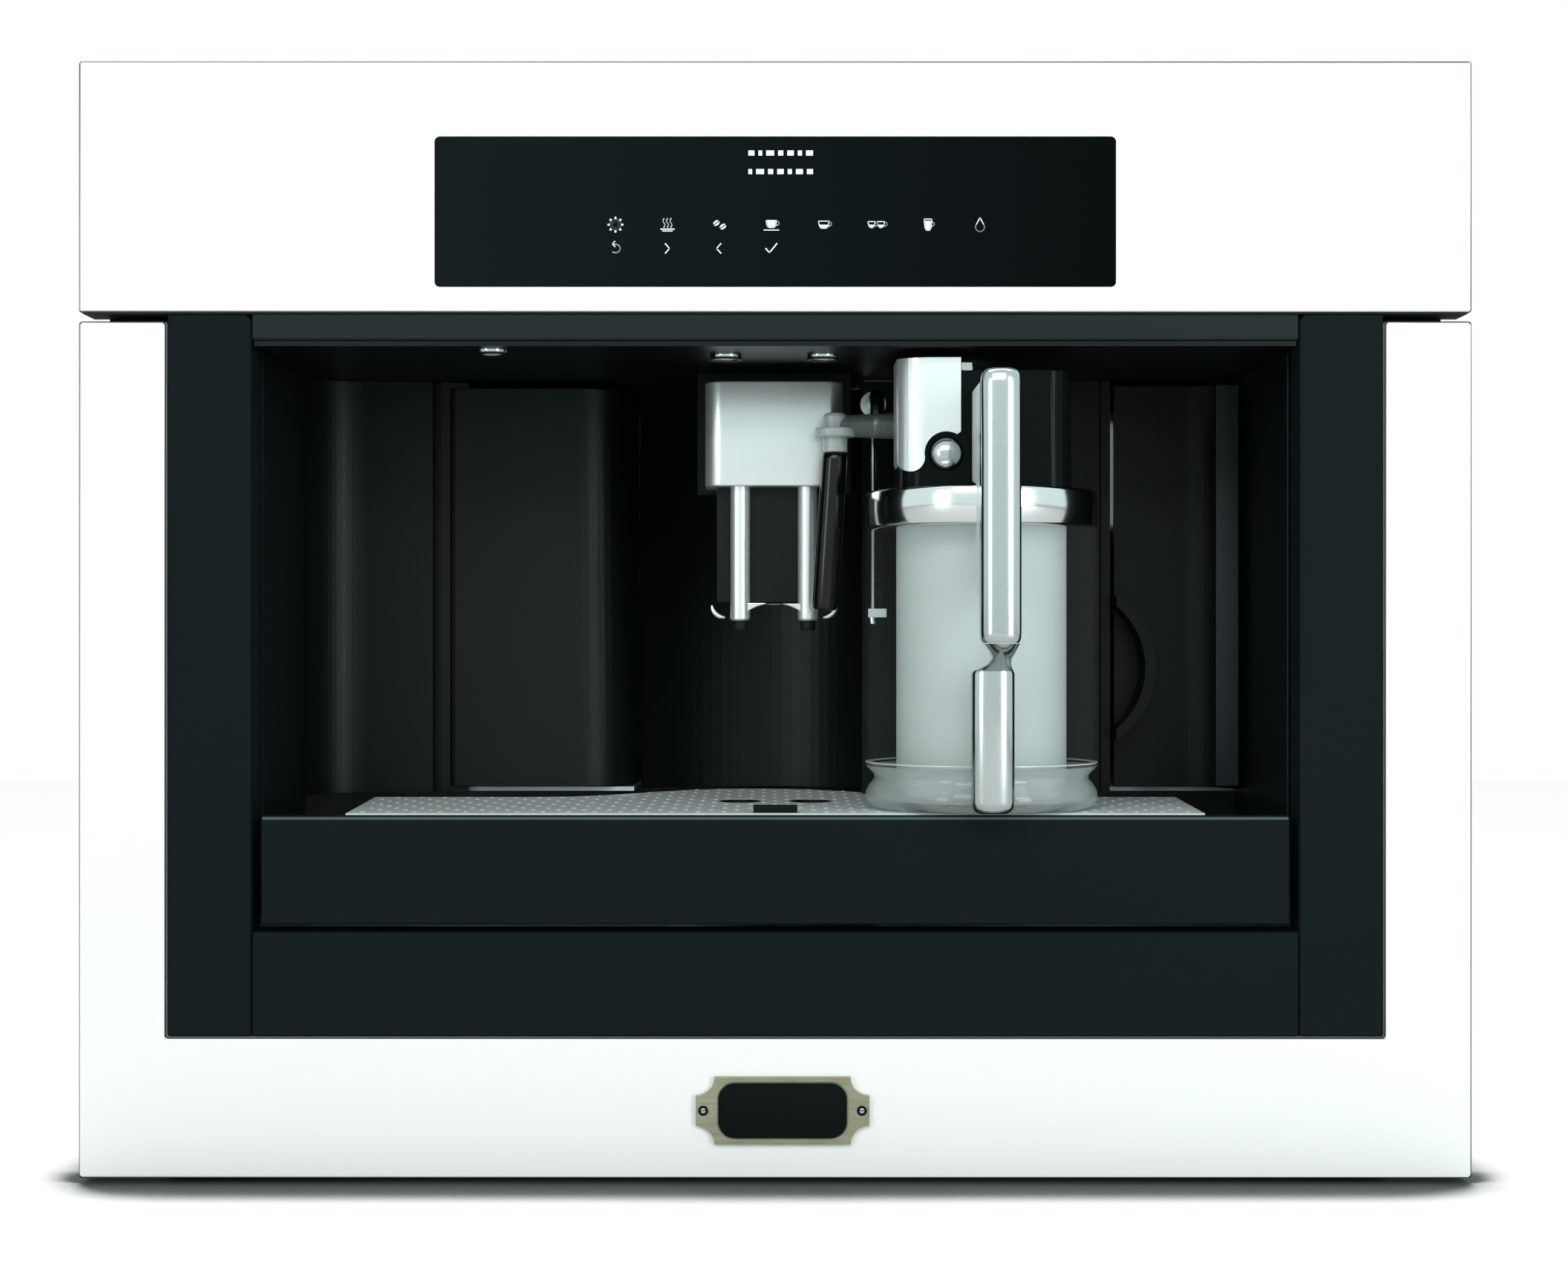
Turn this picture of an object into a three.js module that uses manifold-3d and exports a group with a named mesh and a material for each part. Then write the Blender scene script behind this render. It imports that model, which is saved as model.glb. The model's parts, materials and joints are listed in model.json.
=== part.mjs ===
// Built-in coffee machine with a milk jug, in millimetres, +Z up.
// +X is the viewer's right and the front faces -Y. The group's children are laid out with
// y = depth behind the front face and z = height above the shelf; the group itself is then
// moved so that the origin is the middle of the footprint.
import * as THREE from 'three';
import { mergeVertices } from 'three/addons/utils/BufferGeometryUtils.js';
import Module from 'manifold-3d';

const wasm = await Module();
wasm.setup();

// ---------------------------------------------------------------- driving dimensions
// Front
const FRONT_WIDTH = 595;
const FRONT_HEIGHT = 477;
const FRONT_THICKNESS = 20;
const SHELF_GAP = 2;
const MACHINE_DEPTH = 398;
const FASCIA_HEIGHT = 107.6;
const FASCIA_GAP = 3.5;
const FRAME_SIDE = 37.4;
const FRAME_BASE = 60.2;
const FRONT_SKIN = 1.5;
const FRONT_EDGE = 1.2;
const PILLAR_WIDTH = 35.8;
const PILLAR_CHAMFER = 2.5;
const PILLAR_RECESS = 0.8;
const HEADER_HEIGHT = 11;
const LOWER_PANEL_HEIGHT = 44.5;
const TRAY_FRONT_HEIGHT = 46.2;
const TRAY_FRONT_INSET = 4.2;
const TRAY_FRONT_GAP = 3.4;
const GLASS_WIDTH = 290.4;
const GLASS_HEIGHT = 63.7;
const GLASS_THICKNESS = 4;
const GLASS_CENTRE_DROP = 64.4;
const GLASS_CORNER = 2;
const BOARD_MARGIN = 7;
const BOARD_DEPTH = 10;
const PLATE_WIDTH = 74;
const PLATE_HEIGHT = 28.7;
const PLATE_THICKNESS = 2.4;
const PLATE_NOTCH = 8;
const PLATE_OFFSET_X = 3.1;
const PLATE_CENTRE_HEIGHT = 29.4;
const PLATE_SCREW_RADIUS = 2.2;
const PLATE_SCREW_INSET = 3.2;
const PLATE_SINK = 0.5;
const INLAY_WIDTH = 55.8;
const INLAY_HEIGHT = 24.5;
const INLAY_RADIUS = 7.6;
const INLAY_DEPTH = 0.8;

// Casing
const CASING_WIDTH = 556;
const CASING_SHEET = 1.5;
const CASING_BOTTOM = 46;
const CASING_DROP = 31;
const CARRIER_SHEET = 2;
const CARRIER_MARGIN = 8;
const DECK_SHEET = 2;
const DECK_HEIGHT = 158.6;
const VENT_COUNT = 12;
const VENT_WIDTH = 4;
const VENT_LENGTH = 60;
const VENT_RISE = 210;
const VENT_PITCH = 10;

// Runners
const BASE_SHEET = 1.5;
const BASE_WIDTH = 531;
const BASE_SETBACK = 25;
const BASE_FLANGE = 38;
const RUNNER_LENGTH = 350;
const RUNNER_SETBACK = 30;
const RUNNER_SHEET = 1.5;
const RUNNER_HEIGHT = 32;
const RUNNER_STEP = 8.5;
const RUNNER_GAP = 0.5;
const RUNNER_FLOOR = 6;
const SLIDE_SCREW_RADIUS = 3;

// Cavity
const CAVITY_INSET = 1;
const CAVITY_DEPTH = 142;
const CEILING_DROP = 2.5;
const CAVITY_FLOOR = 158;
const CAVITY_SHEET = 1.5;
const CORNER_RADIUS = 25;
const POST_LEFT = -166;
const POST_DEPTH = 8;
const POST_RIB_LEFT = -161.8;
const POST_RIB_RIGHT = -157.8;
const DOOR_LEFT = -155;
const DOOR_RIGHT = -68;
const DOOR_SHEET = 2.5;
const DOOR_NOSE_RADIUS = 30;
const DOOR_BOTTOM = 161.5;
const DOOR_TOP = 354;
const HINGE_INSET = 3;
const HINGE_BEHIND = 4.4;
const HINGE_EAR_FRONT = 2.6;
const KNUCKLE_RADIUS = 2.8;
const HINGE_PIN_RADIUS = 1.3;
const HINGE_EAR = 2.5;
const BAY_LEFT = -66;
const BAY_RIGHT = 42;
const BAY_MOUTH = 176;
const BAY_BACK = 200;
const RIB_WIDTH = 4.3;
const RIB_PROUD = 3;
const TANK_LEFT = 164.2;
const LIGHT_RADIUS = 7;
const LIGHT_DROP = 2.4;
const LIGHT_RING = 1.6;
const LIGHT_SPOTS = [[-21.7, 34.5], [20.9, 34.5], [-122.6, 16]];

// Coffee spout
const SPOUT_X = -0.6;
const SPOUT_DEPTH = 75;
const COVER_WIDTH = 63.4;
const COVER_TOP = 350.5;
const COVER_BOTTOM = 302.4;
const COVER_REACH = 32;
const COVER_WALL = 1.4;
const COVER_CORNER = 9;
const HOUSING_WIDTH = 72;
const HOUSING_REACH = 44;
const CARRIAGE_WIDTH = 52.6;
const CARRIAGE_REACH = 20;
const CARRIAGE_RISE = 16;
const CARRIAGE_INSET = 2.4;
const TUBE_RADIUS = 4.6;
const TUBE_SPACING = 31.1;
const TUBE_BOTTOM = 241;
const LIP_HALF = 29.7;
const LIP_HEIGHT = 8;
const NOZZLE_RADIUS = 3.5;
const NOZZLE_LENGTH = 4.6;
const GUIDE_HALF = 6;
const GUIDE_REACH = 6;

// Water and steam
const WATER_X = 44;
const WATER_DEPTH = 88;
const WATER_ELBOW_Z = 346;
const WATER_ELBOW_RADIUS = 3.3;
const WATER_ELBOW_BEND = 11;
const WATER_TUBE_RADIUS = 1.3;
const WATER_TIP_Z = 240.5;
const SLEEVE_RADIUS = 1.7;
const SLEEVE_BORE = 0.6;
const SLEEVE_RIB_PITCH = 2;
const SLEEVE_RIBS = 10;
const SLEEVE_OFFSET = 3.7;
const STEAM_Z = 325;
const STEAM_RADIUS = 5;
const STEAM_REACH = 46;
const STEAM_FLANGE = 14;

// Drip tray drawer
const GRID_TOP = 157.2;
const GRID_SHEET = 1.5;
const GRID_HALF_FRONT = 185;
const GRID_HALF_BACK = 191;
const GRID_FRONT = 9;
const GRID_BACK = 125;
const GRID_BULGE_HALF = 104;
const GRID_BULGE_CENTRE = -10;
const GRID_BULGE_BACK = 194;
const DRIP_HOLE_HALF = 10.2;
const DRIP_HOLE_DEPTH = 14;
const DRIP_HOLE_CENTRE = 95;
const DRIP_HOLE_SPACING = 32.9;
const BASIN_WALL = 2;
const BASIN_BOTTOM = 113;
const BASIN_INSET = 1;
const LEDGE_LAP = 8;
const FLOAT_HALF = 9.5;
const FLOAT_DEPTH = 8;
const FLOAT_FRONT = 13;
const FLOAT_PROUD = 3;
const FLOAT_FIT = 0.5;
const FLOAT_STEM = 14;
const FLOAT_FOOT = 8;

// Water tank
const TANK_WIDTH = 55;
const TANK_DEPTH = 236;
const TANK_WALL = 2;
const TANK_TOP = 345;
const TANK_FRONT_TOP = 355;
const GRIP_X = 162.4;
const GRIP_OUT = 19;
const GRIP_Z = 219;
const GRIP_HALF = 34.6;
const GRIP_THICKNESS = 5.4;
const GRIP_REACH = 22;

// Milk jug; its own group starts at the middle of its foot
const JUG_X = 91.6;
const JUG_DEPTH = 45;
const JUG_RADIUS = 51.6;
const JUG_WALL = 2;
const JUG_FOOT = 4;
const JUG_BASE_HEIGHT = 19;
const JUG_WAIST = 4;
const COLLAR_BOTTOM = 124;
const COLLAR_TOP = 140;
const VESSEL_RADIUS = 37.7;
const VESSEL_WALL = 2;
const VESSEL_TAPER = 8;
const VESSEL_FLOOR = 3;
const LID_TOP = 191;
const LID_CORNER = 12;
const LID_FRONT = 31;
const LID_BACK = 38;
const LID_WALL = 2.5;
const LID_COVER_TOP = 196.4;
const LID_COVER_BOTTOM = 147.2;
const LID_COVER_LEFT = -38.9;
const LID_COVER_RIGHT = -11.4;
const LID_COVER_SHEET = 1.8;
const BUTTON_X = -17.7;
const BUTTON_Z = 155;
const BUTTON_RADIUS = 7.2;
const BUTTON_PROUD = 5;
const SLIDER_X = -8.4;
const SLIDER_WIDTH = 5.4;
const SLIDER_LENGTH = 12;
const SLIDER_HEIGHT = 4;
const SLIDER_TRAVEL = 14;
const HANDLE_X = 1.2;
const HANDLE_WIDTH = 16.6;
const HANDLE_REACH = 90;
const HANDLE_BAR = 13;
const HANDLE_BOTTOM = 73;
const HANDLE_TOP = 186;
const HANDLE_SLANT = 26;
const HANDLE_BODY_WIDTH = 15.4;
const LOWER_WIDTH = 17.8;
const LOWER_REACH = 67;
const LOWER_BAR = 13.5;
const LOWER_TOP = 62.5;
const LOWER_BOTTOM = 1.2;
const INTAKE_X = 23.7;
const INTAKE_RADIUS = 3.6;
const SOCKET_RADIUS = 9;
const SOCKET_REACH = 20;
const MILK_PIVOT_Z = 171;
const MILK_TUBE_X = -64.6;
const MILK_DEPTH_OFFSET = 17;
const MILK_TUBE_RADIUS = 5.9;
const MILK_TUBE_BORE = 4;
const MILK_TUBE_TOP = 159;
const MILK_TUBE_LENGTH = 71;
const MILK_TUBE_TILT = 0.066;
const MILK_COLLAR_RADIUS = 9.3;
const MILK_CAP_RADIUS = 6;
const MILK_CAP_TOP = 175.6;

// Inner works
const BREW_X = -118;
const BREW_DEPTH = 262;
const BREW_WIDTH = 74;
const BREW_LENGTH = 92;
const BREW_HEIGHT = 172;
const BREW_WALL = 3;
const PISTON_RADIUS = 22;
const PISTON_HEIGHT = 24;
const PISTON_REST = 44;
const PISTON_INSET = 4;
const ARM_HEIGHT = 8;
const NUT_HALF = 9;
const NUT_HEIGHT = 12;
const SPINDLE_RADIUS = 4;
const SPINDLE_INSET = 14;
const SPINDLE_PROUD = 8;
const DRIVE_WHEEL_RADIUS = 20;
const DRIVE_WHEEL_HEIGHT = 7;
const BIN_WIDTH = 66;
const BIN_LENGTH = 50;
const BIN_HEIGHT = 92;
const BIN_WALL = 1.8;
const BOILER_RADIUS = 32;
const BOILER_HEIGHT = 110;
const PUMP_RADIUS = 21;
const PUMP_LENGTH = 110;
const GRINDER_X = 104;
const GRINDER_DEPTH = 262;
const GRINDER_RADIUS = 38;
const HOPPER_DEPTH = 75.7;
const BURR_BORE = 24;
const BURR_RADIUS = 21;
const BURR_HEIGHT = 26;
const GRINDER_BODY = 60;
const BURR_SHAFT = 4;
const HOPPER_LENGTH = 120;
const HOPPER_WIDTH = 104;
const HOPPER_WALL = 2.2;
const HOPPER_THROAT = 14;
const BEAN_LID_SHEET = 3;
const BEAN_LID_LAP = 7;
const KNOB_RADIUS = 11;
const KNOB_HEIGHT = 14;
const SWITCH_WIDTH = 22;
const SWITCH_HEIGHT = 30;
const SWITCH_X = -210;
const SWITCH_Z = 90;
const SWITCH_REACH = 14;
const SWITCH_WALL = 2;
const SWITCH_PIN_RADIUS = 1;
const SWITCH_PIVOT = 5.4;
const ROCKER_PROUD = 5.1;
const ROCKER_EDGE = 2;
const INLET_X = -160;
const INLET_WIDTH = 27;
const INLET_HEIGHT = 20;
const INLET_REACH = 18;

// Fits
const SEAT = 0.3;
const SLIDE_FIT = 0.4;
const TURN_FIT = 0.3;
const WELD = 0.1;

// ---------------------------------------------------------------- derived places
const HALF = FRONT_WIDTH / 2;
const FRONT_TOP = SHELF_GAP + FRONT_HEIGHT;
const FASCIA_BOTTOM = FRONT_TOP - FASCIA_HEIGHT;
const FRAME_TOP = FASCIA_BOTTOM - FASCIA_GAP;
const FRAME_INNER = HALF - FRAME_SIDE;
const FRAME_FLOOR = SHELF_GAP + FRAME_BASE;
const PILLAR_OUTER = FRAME_INNER - SEAT;
const PILLAR_INNER = PILLAR_OUTER - PILLAR_WIDTH;
const CAVITY_HALF = PILLAR_INNER - CAVITY_INSET;
const PANEL_HALF = PILLAR_INNER - SEAT;
const HEADER_TOP = FASCIA_BOTTOM - SEAT;
const HEADER_BOTTOM = HEADER_TOP - HEADER_HEIGHT;
const CAVITY_TOP = HEADER_BOTTOM - CEILING_DROP;
const CASING_TOP = FRONT_TOP - CASING_DROP;
const LOWER_PANEL_BOTTOM = FRAME_FLOOR + SEAT;
const LOWER_PANEL_TOP = LOWER_PANEL_BOTTOM + LOWER_PANEL_HEIGHT;
const TRAY_FRONT_BOTTOM = LOWER_PANEL_TOP + TRAY_FRONT_GAP;
const TRAY_FRONT_TOP = TRAY_FRONT_BOTTOM + TRAY_FRONT_HEIGHT;
const TRAY_HALF = PILLAR_INNER - TRAY_FRONT_INSET;
const GLASS_Z = FRONT_TOP - GLASS_CENTRE_DROP;
const CARRIER_FRONT = FRONT_THICKNESS + SEAT;
const CARRIER_BACK = CARRIER_FRONT + CARRIER_SHEET;
const CASING_HALF = CASING_WIDTH / 2;
const CASING_FRONT = CARRIER_BACK + SEAT;
const CASING_INNER = CASING_HALF - CASING_SHEET;
const REAR_FRONT = MACHINE_DEPTH - CASING_SHEET;
const FLOOR_TOP = CASING_BOTTOM + CASING_SHEET;
const ROOF_BOTTOM = CASING_TOP - CASING_SHEET;
const GRINDER_TOP = CASING_TOP - HOPPER_DEPTH - SEAT;
const DECK_TOP = DECK_HEIGHT + DECK_SHEET;
const HANDLE_FRONT = HANDLE_REACH - JUG_DEPTH;
const JUG_Z = GRID_TOP + SEAT;
const HINGE_X = DOOR_LEFT + HINGE_INSET;
const HINGE_Y = CAVITY_DEPTH + HINGE_BEHIND;
const COVER_FRONT = SPOUT_DEPTH;
const COVER_BACK = COVER_FRONT + COVER_REACH;
const HOUSING_FRONT = COVER_BACK + SEAT;
const HOUSING_BACK = HOUSING_FRONT + HOUSING_REACH;
const TUBE_DEPTH = COVER_FRONT + COVER_WALL + CARRIAGE_INSET - SLIDE_FIT + TUBE_RADIUS;
const CARRIAGE_FRONT = TUBE_DEPTH + 1;
const CARRIAGE_BACK = CARRIAGE_FRONT + CARRIAGE_REACH;
const LIP_TOP = TUBE_BOTTOM + LIP_HEIGHT;
const TANK_RIGHT = CAVITY_HALF - SEAT;
const TANK_BOTTOM = DECK_TOP + SLIDE_FIT;
const TANK_BODY_RIGHT = TANK_RIGHT - 1;
const TANK_BODY_LEFT = TANK_BODY_RIGHT - TANK_WIDTH;
const TANK_FRONT_BACK = CAVITY_DEPTH + 2 * TANK_WALL;
const LID_BOTTOM = COLLAR_TOP + SEAT;
const COLLAR_FIT = VESSEL_RADIUS + SEAT;
const BREW_FLOOR = DECK_TOP + SEAT;

// ---------------------------------------------------------------- solids
// A closed geometry as a solid: vertices merged, slivers at a lathe's poles left out.
function solid(geometry) {
  const bare = geometry.index ? geometry.toNonIndexed() : geometry.clone();
  bare.deleteAttribute('normal');
  bare.deleteAttribute('uv');
  const merged = mergeVertices(bare, 1e-4);
  const corners = merged.index.array;
  const kept = [];
  for (let i = 0; i < corners.length; i += 3) {
    const [a, b, c] = [corners[i], corners[i + 1], corners[i + 2]];
    if (a !== b && b !== c && c !== a) kept.push(a, b, c);
  }
  const build = (triangles) => new wasm.Manifold(new wasm.Mesh({
    numProp: 3,
    vertProperties: merged.attributes.position.array,
    triVerts: new Uint32Array(triangles),
  }));
  const made = build(kept);
  if (made.volume() > 0) return made;
  return build(kept.reverse());
}

const asSolid = (shape) => (shape.isBufferGeometry ? solid(shape) : shape);
const cut = (base, ...tools) => tools.reduce((left, tool) => left.subtract(asSolid(tool)), asSolid(base));
const join = (first, ...others) => others.reduce((sum, piece) => sum.add(asSolid(piece)), asSolid(first));
const common = (base, tool) => asSolid(base).intersect(asSolid(tool));

function toGeometry(shape) {
  const mesh = asSolid(shape).getMesh();
  const geometry = new THREE.BufferGeometry();
  const positions = new Float32Array(mesh.numVert * 3);
  for (let i = 0; i < mesh.numVert; i += 1) {
    for (let axis = 0; axis < 3; axis += 1) {
      positions[3 * i + axis] = mesh.vertProperties[mesh.numProp * i + axis];
    }
  }
  geometry.setAttribute('position', new THREE.BufferAttribute(positions, 3));
  geometry.setIndex(new THREE.BufferAttribute(mesh.triVerts, 1));
  geometry.computeVertexNormals();
  return geometry;
}

// A block from its lowest to its highest corner.
function block([x0, x1], [y0, y1], [z0, z1]) {
  const geometry = new THREE.BoxGeometry(x1 - x0, y1 - y0, z1 - z0);
  return geometry.translate((x0 + x1) / 2, (y0 + y1) / 2, (z0 + z1) / 2);
}

const around = (centre, half) => [centre - half, centre + half];

// Prisms: an outline in XY raised along Z, in XZ pushed along Y, in YZ pushed along X.
function prismZ(outline, z0, z1, curveSegments = 8) {
  const geometry = new THREE.ExtrudeGeometry(outline, { depth: z1 - z0, bevelEnabled: false, curveSegments });
  return geometry.translate(0, 0, z0);
}

function prismY(outline, y0, y1, curveSegments = 8) {
  const geometry = new THREE.ExtrudeGeometry(outline, { depth: y1 - y0, bevelEnabled: false, curveSegments });
  return geometry.rotateX(Math.PI / 2).translate(0, y1, 0);
}

function prismX(outline, x0, x1, curveSegments = 8) {
  const geometry = new THREE.ExtrudeGeometry(outline, { depth: x1 - x0, bevelEnabled: false, curveSegments });
  return geometry.rotateX(Math.PI / 2).rotateZ(Math.PI / 2).translate(x0, 0, 0);
}

function polygon(points) {
  return new THREE.Shape(points.map(([u, v]) => new THREE.Vector2(u, v)));
}

function roundedRect([u0, u1], [v0, v1], radius) {
  const shape = new THREE.Shape();
  shape.absarc(u1 - radius, v0 + radius, radius, -Math.PI / 2, 0);
  shape.absarc(u1 - radius, v1 - radius, radius, 0, Math.PI / 2);
  shape.absarc(u0 + radius, v1 - radius, radius, Math.PI / 2, Math.PI);
  shape.absarc(u0 + radius, v0 + radius, radius, Math.PI, Math.PI * 1.5);
  shape.closePath();
  return shape;
}

const rodZ = (radius, z0, z1, x = 0, y = 0, sides = 24) => (
  new THREE.CylinderGeometry(radius, radius, z1 - z0, sides)
    .rotateX(Math.PI / 2).translate(x, y, (z0 + z1) / 2)
);
const rodY = (radius, y0, y1, x = 0, z = 0, sides = 24) => (
  new THREE.CylinderGeometry(radius, radius, y1 - y0, sides)
    .translate(x, (y0 + y1) / 2, z)
);
const rodX = (radius, x0, x1, y = 0, z = 0, sides = 24) => (
  new THREE.CylinderGeometry(radius, radius, x1 - x0, sides)
    .rotateZ(Math.PI / 2).translate((x0 + x1) / 2, y, z)
);

// A turned piece about Z from radius and height pairs.
function turned(profile, sides = 32) {
  const points = profile.map(([radius, height]) => new THREE.Vector2(radius, height));
  return new THREE.LatheGeometry(points, sides).rotateX(Math.PI / 2);
}

// A front skin folded back at its rim: the front edge is rounded, the back is open.
// outline(inset) gives the outline drawn in by that much.
function frontSkin(outline, front, depth, wall, openings = []) {
  const options = {
    depth,
    bevelThickness: FRONT_EDGE,
    bevelSize: FRONT_EDGE,
    bevelOffset: -FRONT_EDGE,
    bevelSegments: 3,
    curveSegments: 3,
  };
  const swept = new THREE.ExtrudeGeometry(outline(0), options);
  const outer = swept.rotateX(Math.PI / 2).translate(0, front + depth + FRONT_EDGE, 0);
  const trimHeights = [-FRONT_WIDTH, 2 * FRONT_WIDTH];
  const trim = block(around(0, FRONT_WIDTH), [front + depth, front + 3 * depth], trimHeights);
  const hollow = prismY(outline(wall), front + wall, front + 2 * depth, 3);
  return cut(outer, trim, hollow, ...openings);
}

// ---------------------------------------------------------------- finishes
const finish = (color, roughness, metalness, opacity = 1) => () => new THREE.MeshStandardMaterial({
  color, roughness, metalness, opacity, transparent: opacity < 1,
});
const whitePaint = finish(0xf2f2f0, 0.25, 0);
const charcoal = finish(0x202424, 0.55, 0.3);
const blackPlastic = finish(0x0c0e0f, 0.45, 0);
const blackGlass = finish(0x06080a, 0.08, 0);
const chrome = finish(0xd8dada, 0.12, 1);
const brushedSteel = finish(0xb9bcbc, 0.35, 1);
const galvanised = finish(0x9a9d9f, 0.5, 0.9);
const brass = finish(0x8c7a4c, 0.35, 1);
const clearPlastic = finish(0xdfe5e6, 0.05, 0, 0.3);
const frostedPlastic = finish(0xcfd6d6, 0.4, 0, 0.7);
const palePlastic = finish(0xc9cfcf, 0.4, 0);
const smokedPlastic = finish(0x30363a, 0.15, 0, 0.6);
const blackRubber = finish(0x101112, 0.8, 0);
const copper = finish(0xa66a44, 0.35, 1);

function part(name, shape, material) {
  const mesh = new THREE.Mesh(toGeometry(shape), material());
  mesh.name = name;
  return mesh;
}

const sides = [-1, 1];
const mirrored = (make) => join(...sides.map(make));
const span = (side, inner, outer) => (side > 0 ? [inner, outer] : [-outer, -inner]);

// ---------------------------------------------------------------- runners
function runnerFrame() {
  const back = MACHINE_DEPTH - SEAT;
  const half = BASE_WIDTH / 2;
  const plate = block([-half, half], [BASE_SETBACK, back], [0, BASE_SHEET]);
  const flange = (side) => block(span(side, half - BASE_SHEET, half), [BASE_SETBACK, back], [0, BASE_FLANGE]);
  const screwHole = (side, y) => rodZ(SLIDE_SCREW_RADIUS, -1, BASE_SHEET + 1, side * half * 0.8, y, 12);
  const holeRows = [BASE_SETBACK + 20, (BASE_SETBACK + back) / 2, back - 20];
  const holes = sides.flatMap((side) => holeRows.map((y) => screwHole(side, y)));
  const base = cut(join(plate, mirrored(flange)), ...holes);
  return part('cabinet_base_frame', join(base, outerRails()), galvanised);
}

// One C-shaped runner member, open towards the middle of the machine.
function channel(side, outer, bottom, height, width) {
  const ys = [RUNNER_SETBACK, RUNNER_SETBACK + RUNNER_LENGTH];
  const body = block(span(side, outer - width, outer), ys, [bottom, bottom + height]);
  const hollow = block(
    span(side, outer - width - 1, outer - RUNNER_SHEET),
    [ys[0] - 1, ys[1] + 1],
    [bottom + RUNNER_SHEET, bottom + height - RUNNER_SHEET],
  );
  return cut(body, hollow);
}

const OUTER_RAIL_X = BASE_WIDTH / 2 - BASE_SHEET + WELD;
const MIDDLE_RAIL_X = OUTER_RAIL_X - RUNNER_SHEET - RUNNER_GAP;
const MIDDLE_RAIL_Z = RUNNER_FLOOR + RUNNER_SHEET + RUNNER_GAP;
const MIDDLE_RAIL_HEIGHT = RUNNER_HEIGHT - 2 * (RUNNER_SHEET + RUNNER_GAP);
const INNER_RAIL_X = MIDDLE_RAIL_X - RUNNER_SHEET - RUNNER_GAP;
const INNER_RAIL_Z = MIDDLE_RAIL_Z + RUNNER_SHEET + RUNNER_GAP;
const INNER_RAIL_HEIGHT = MIDDLE_RAIL_HEIGHT - 2 * (RUNNER_SHEET + RUNNER_GAP);

function outerRails() {
  const rail = (side) => channel(side, OUTER_RAIL_X, RUNNER_FLOOR, RUNNER_HEIGHT, RUNNER_STEP);
  return mirrored(rail);
}

function middleRails() {
  const width = RUNNER_STEP + RUNNER_GAP;
  return sides.map((side) => part(
    side < 0 ? 'middle_rail_left' : 'middle_rail_right',
    channel(side, MIDDLE_RAIL_X, MIDDLE_RAIL_Z, MIDDLE_RAIL_HEIGHT, width),
    brushedSteel,
  ));
}

function innerRails() {
  const rail = (side) => {
    const ys = [RUNNER_SETBACK, RUNNER_SETBACK + RUNNER_LENGTH];
    const inner = INNER_RAIL_X - 2 * RUNNER_STEP;
    const bar = block(span(side, inner, INNER_RAIL_X), ys, [INNER_RAIL_Z, INNER_RAIL_Z + INNER_RAIL_HEIGHT]);
    const riserXs = span(side, inner, inner + 2 * RUNNER_SHEET);
    const riser = block(riserXs, ys, [INNER_RAIL_Z, CASING_BOTTOM + WELD]);
    return join(bar, riser);
  };
  return mirrored(rail);
}

// ---------------------------------------------------------------- casing
function frontCarrier() {
  const outline = [CASING_BOTTOM, FRONT_TOP - CARRIER_MARGIN];
  const sheet = block(around(0, HALF - CARRIER_MARGIN), [CARRIER_FRONT, CARRIER_BACK], outline);
  const mouth = block(around(0, PILLAR_INNER + 2), [0, 2 * CARRIER_BACK], [LOWER_PANEL_TOP, HEADER_BOTTOM]);
  return part('front_carrier', cut(sheet, mouth), galvanised);
}

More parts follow.
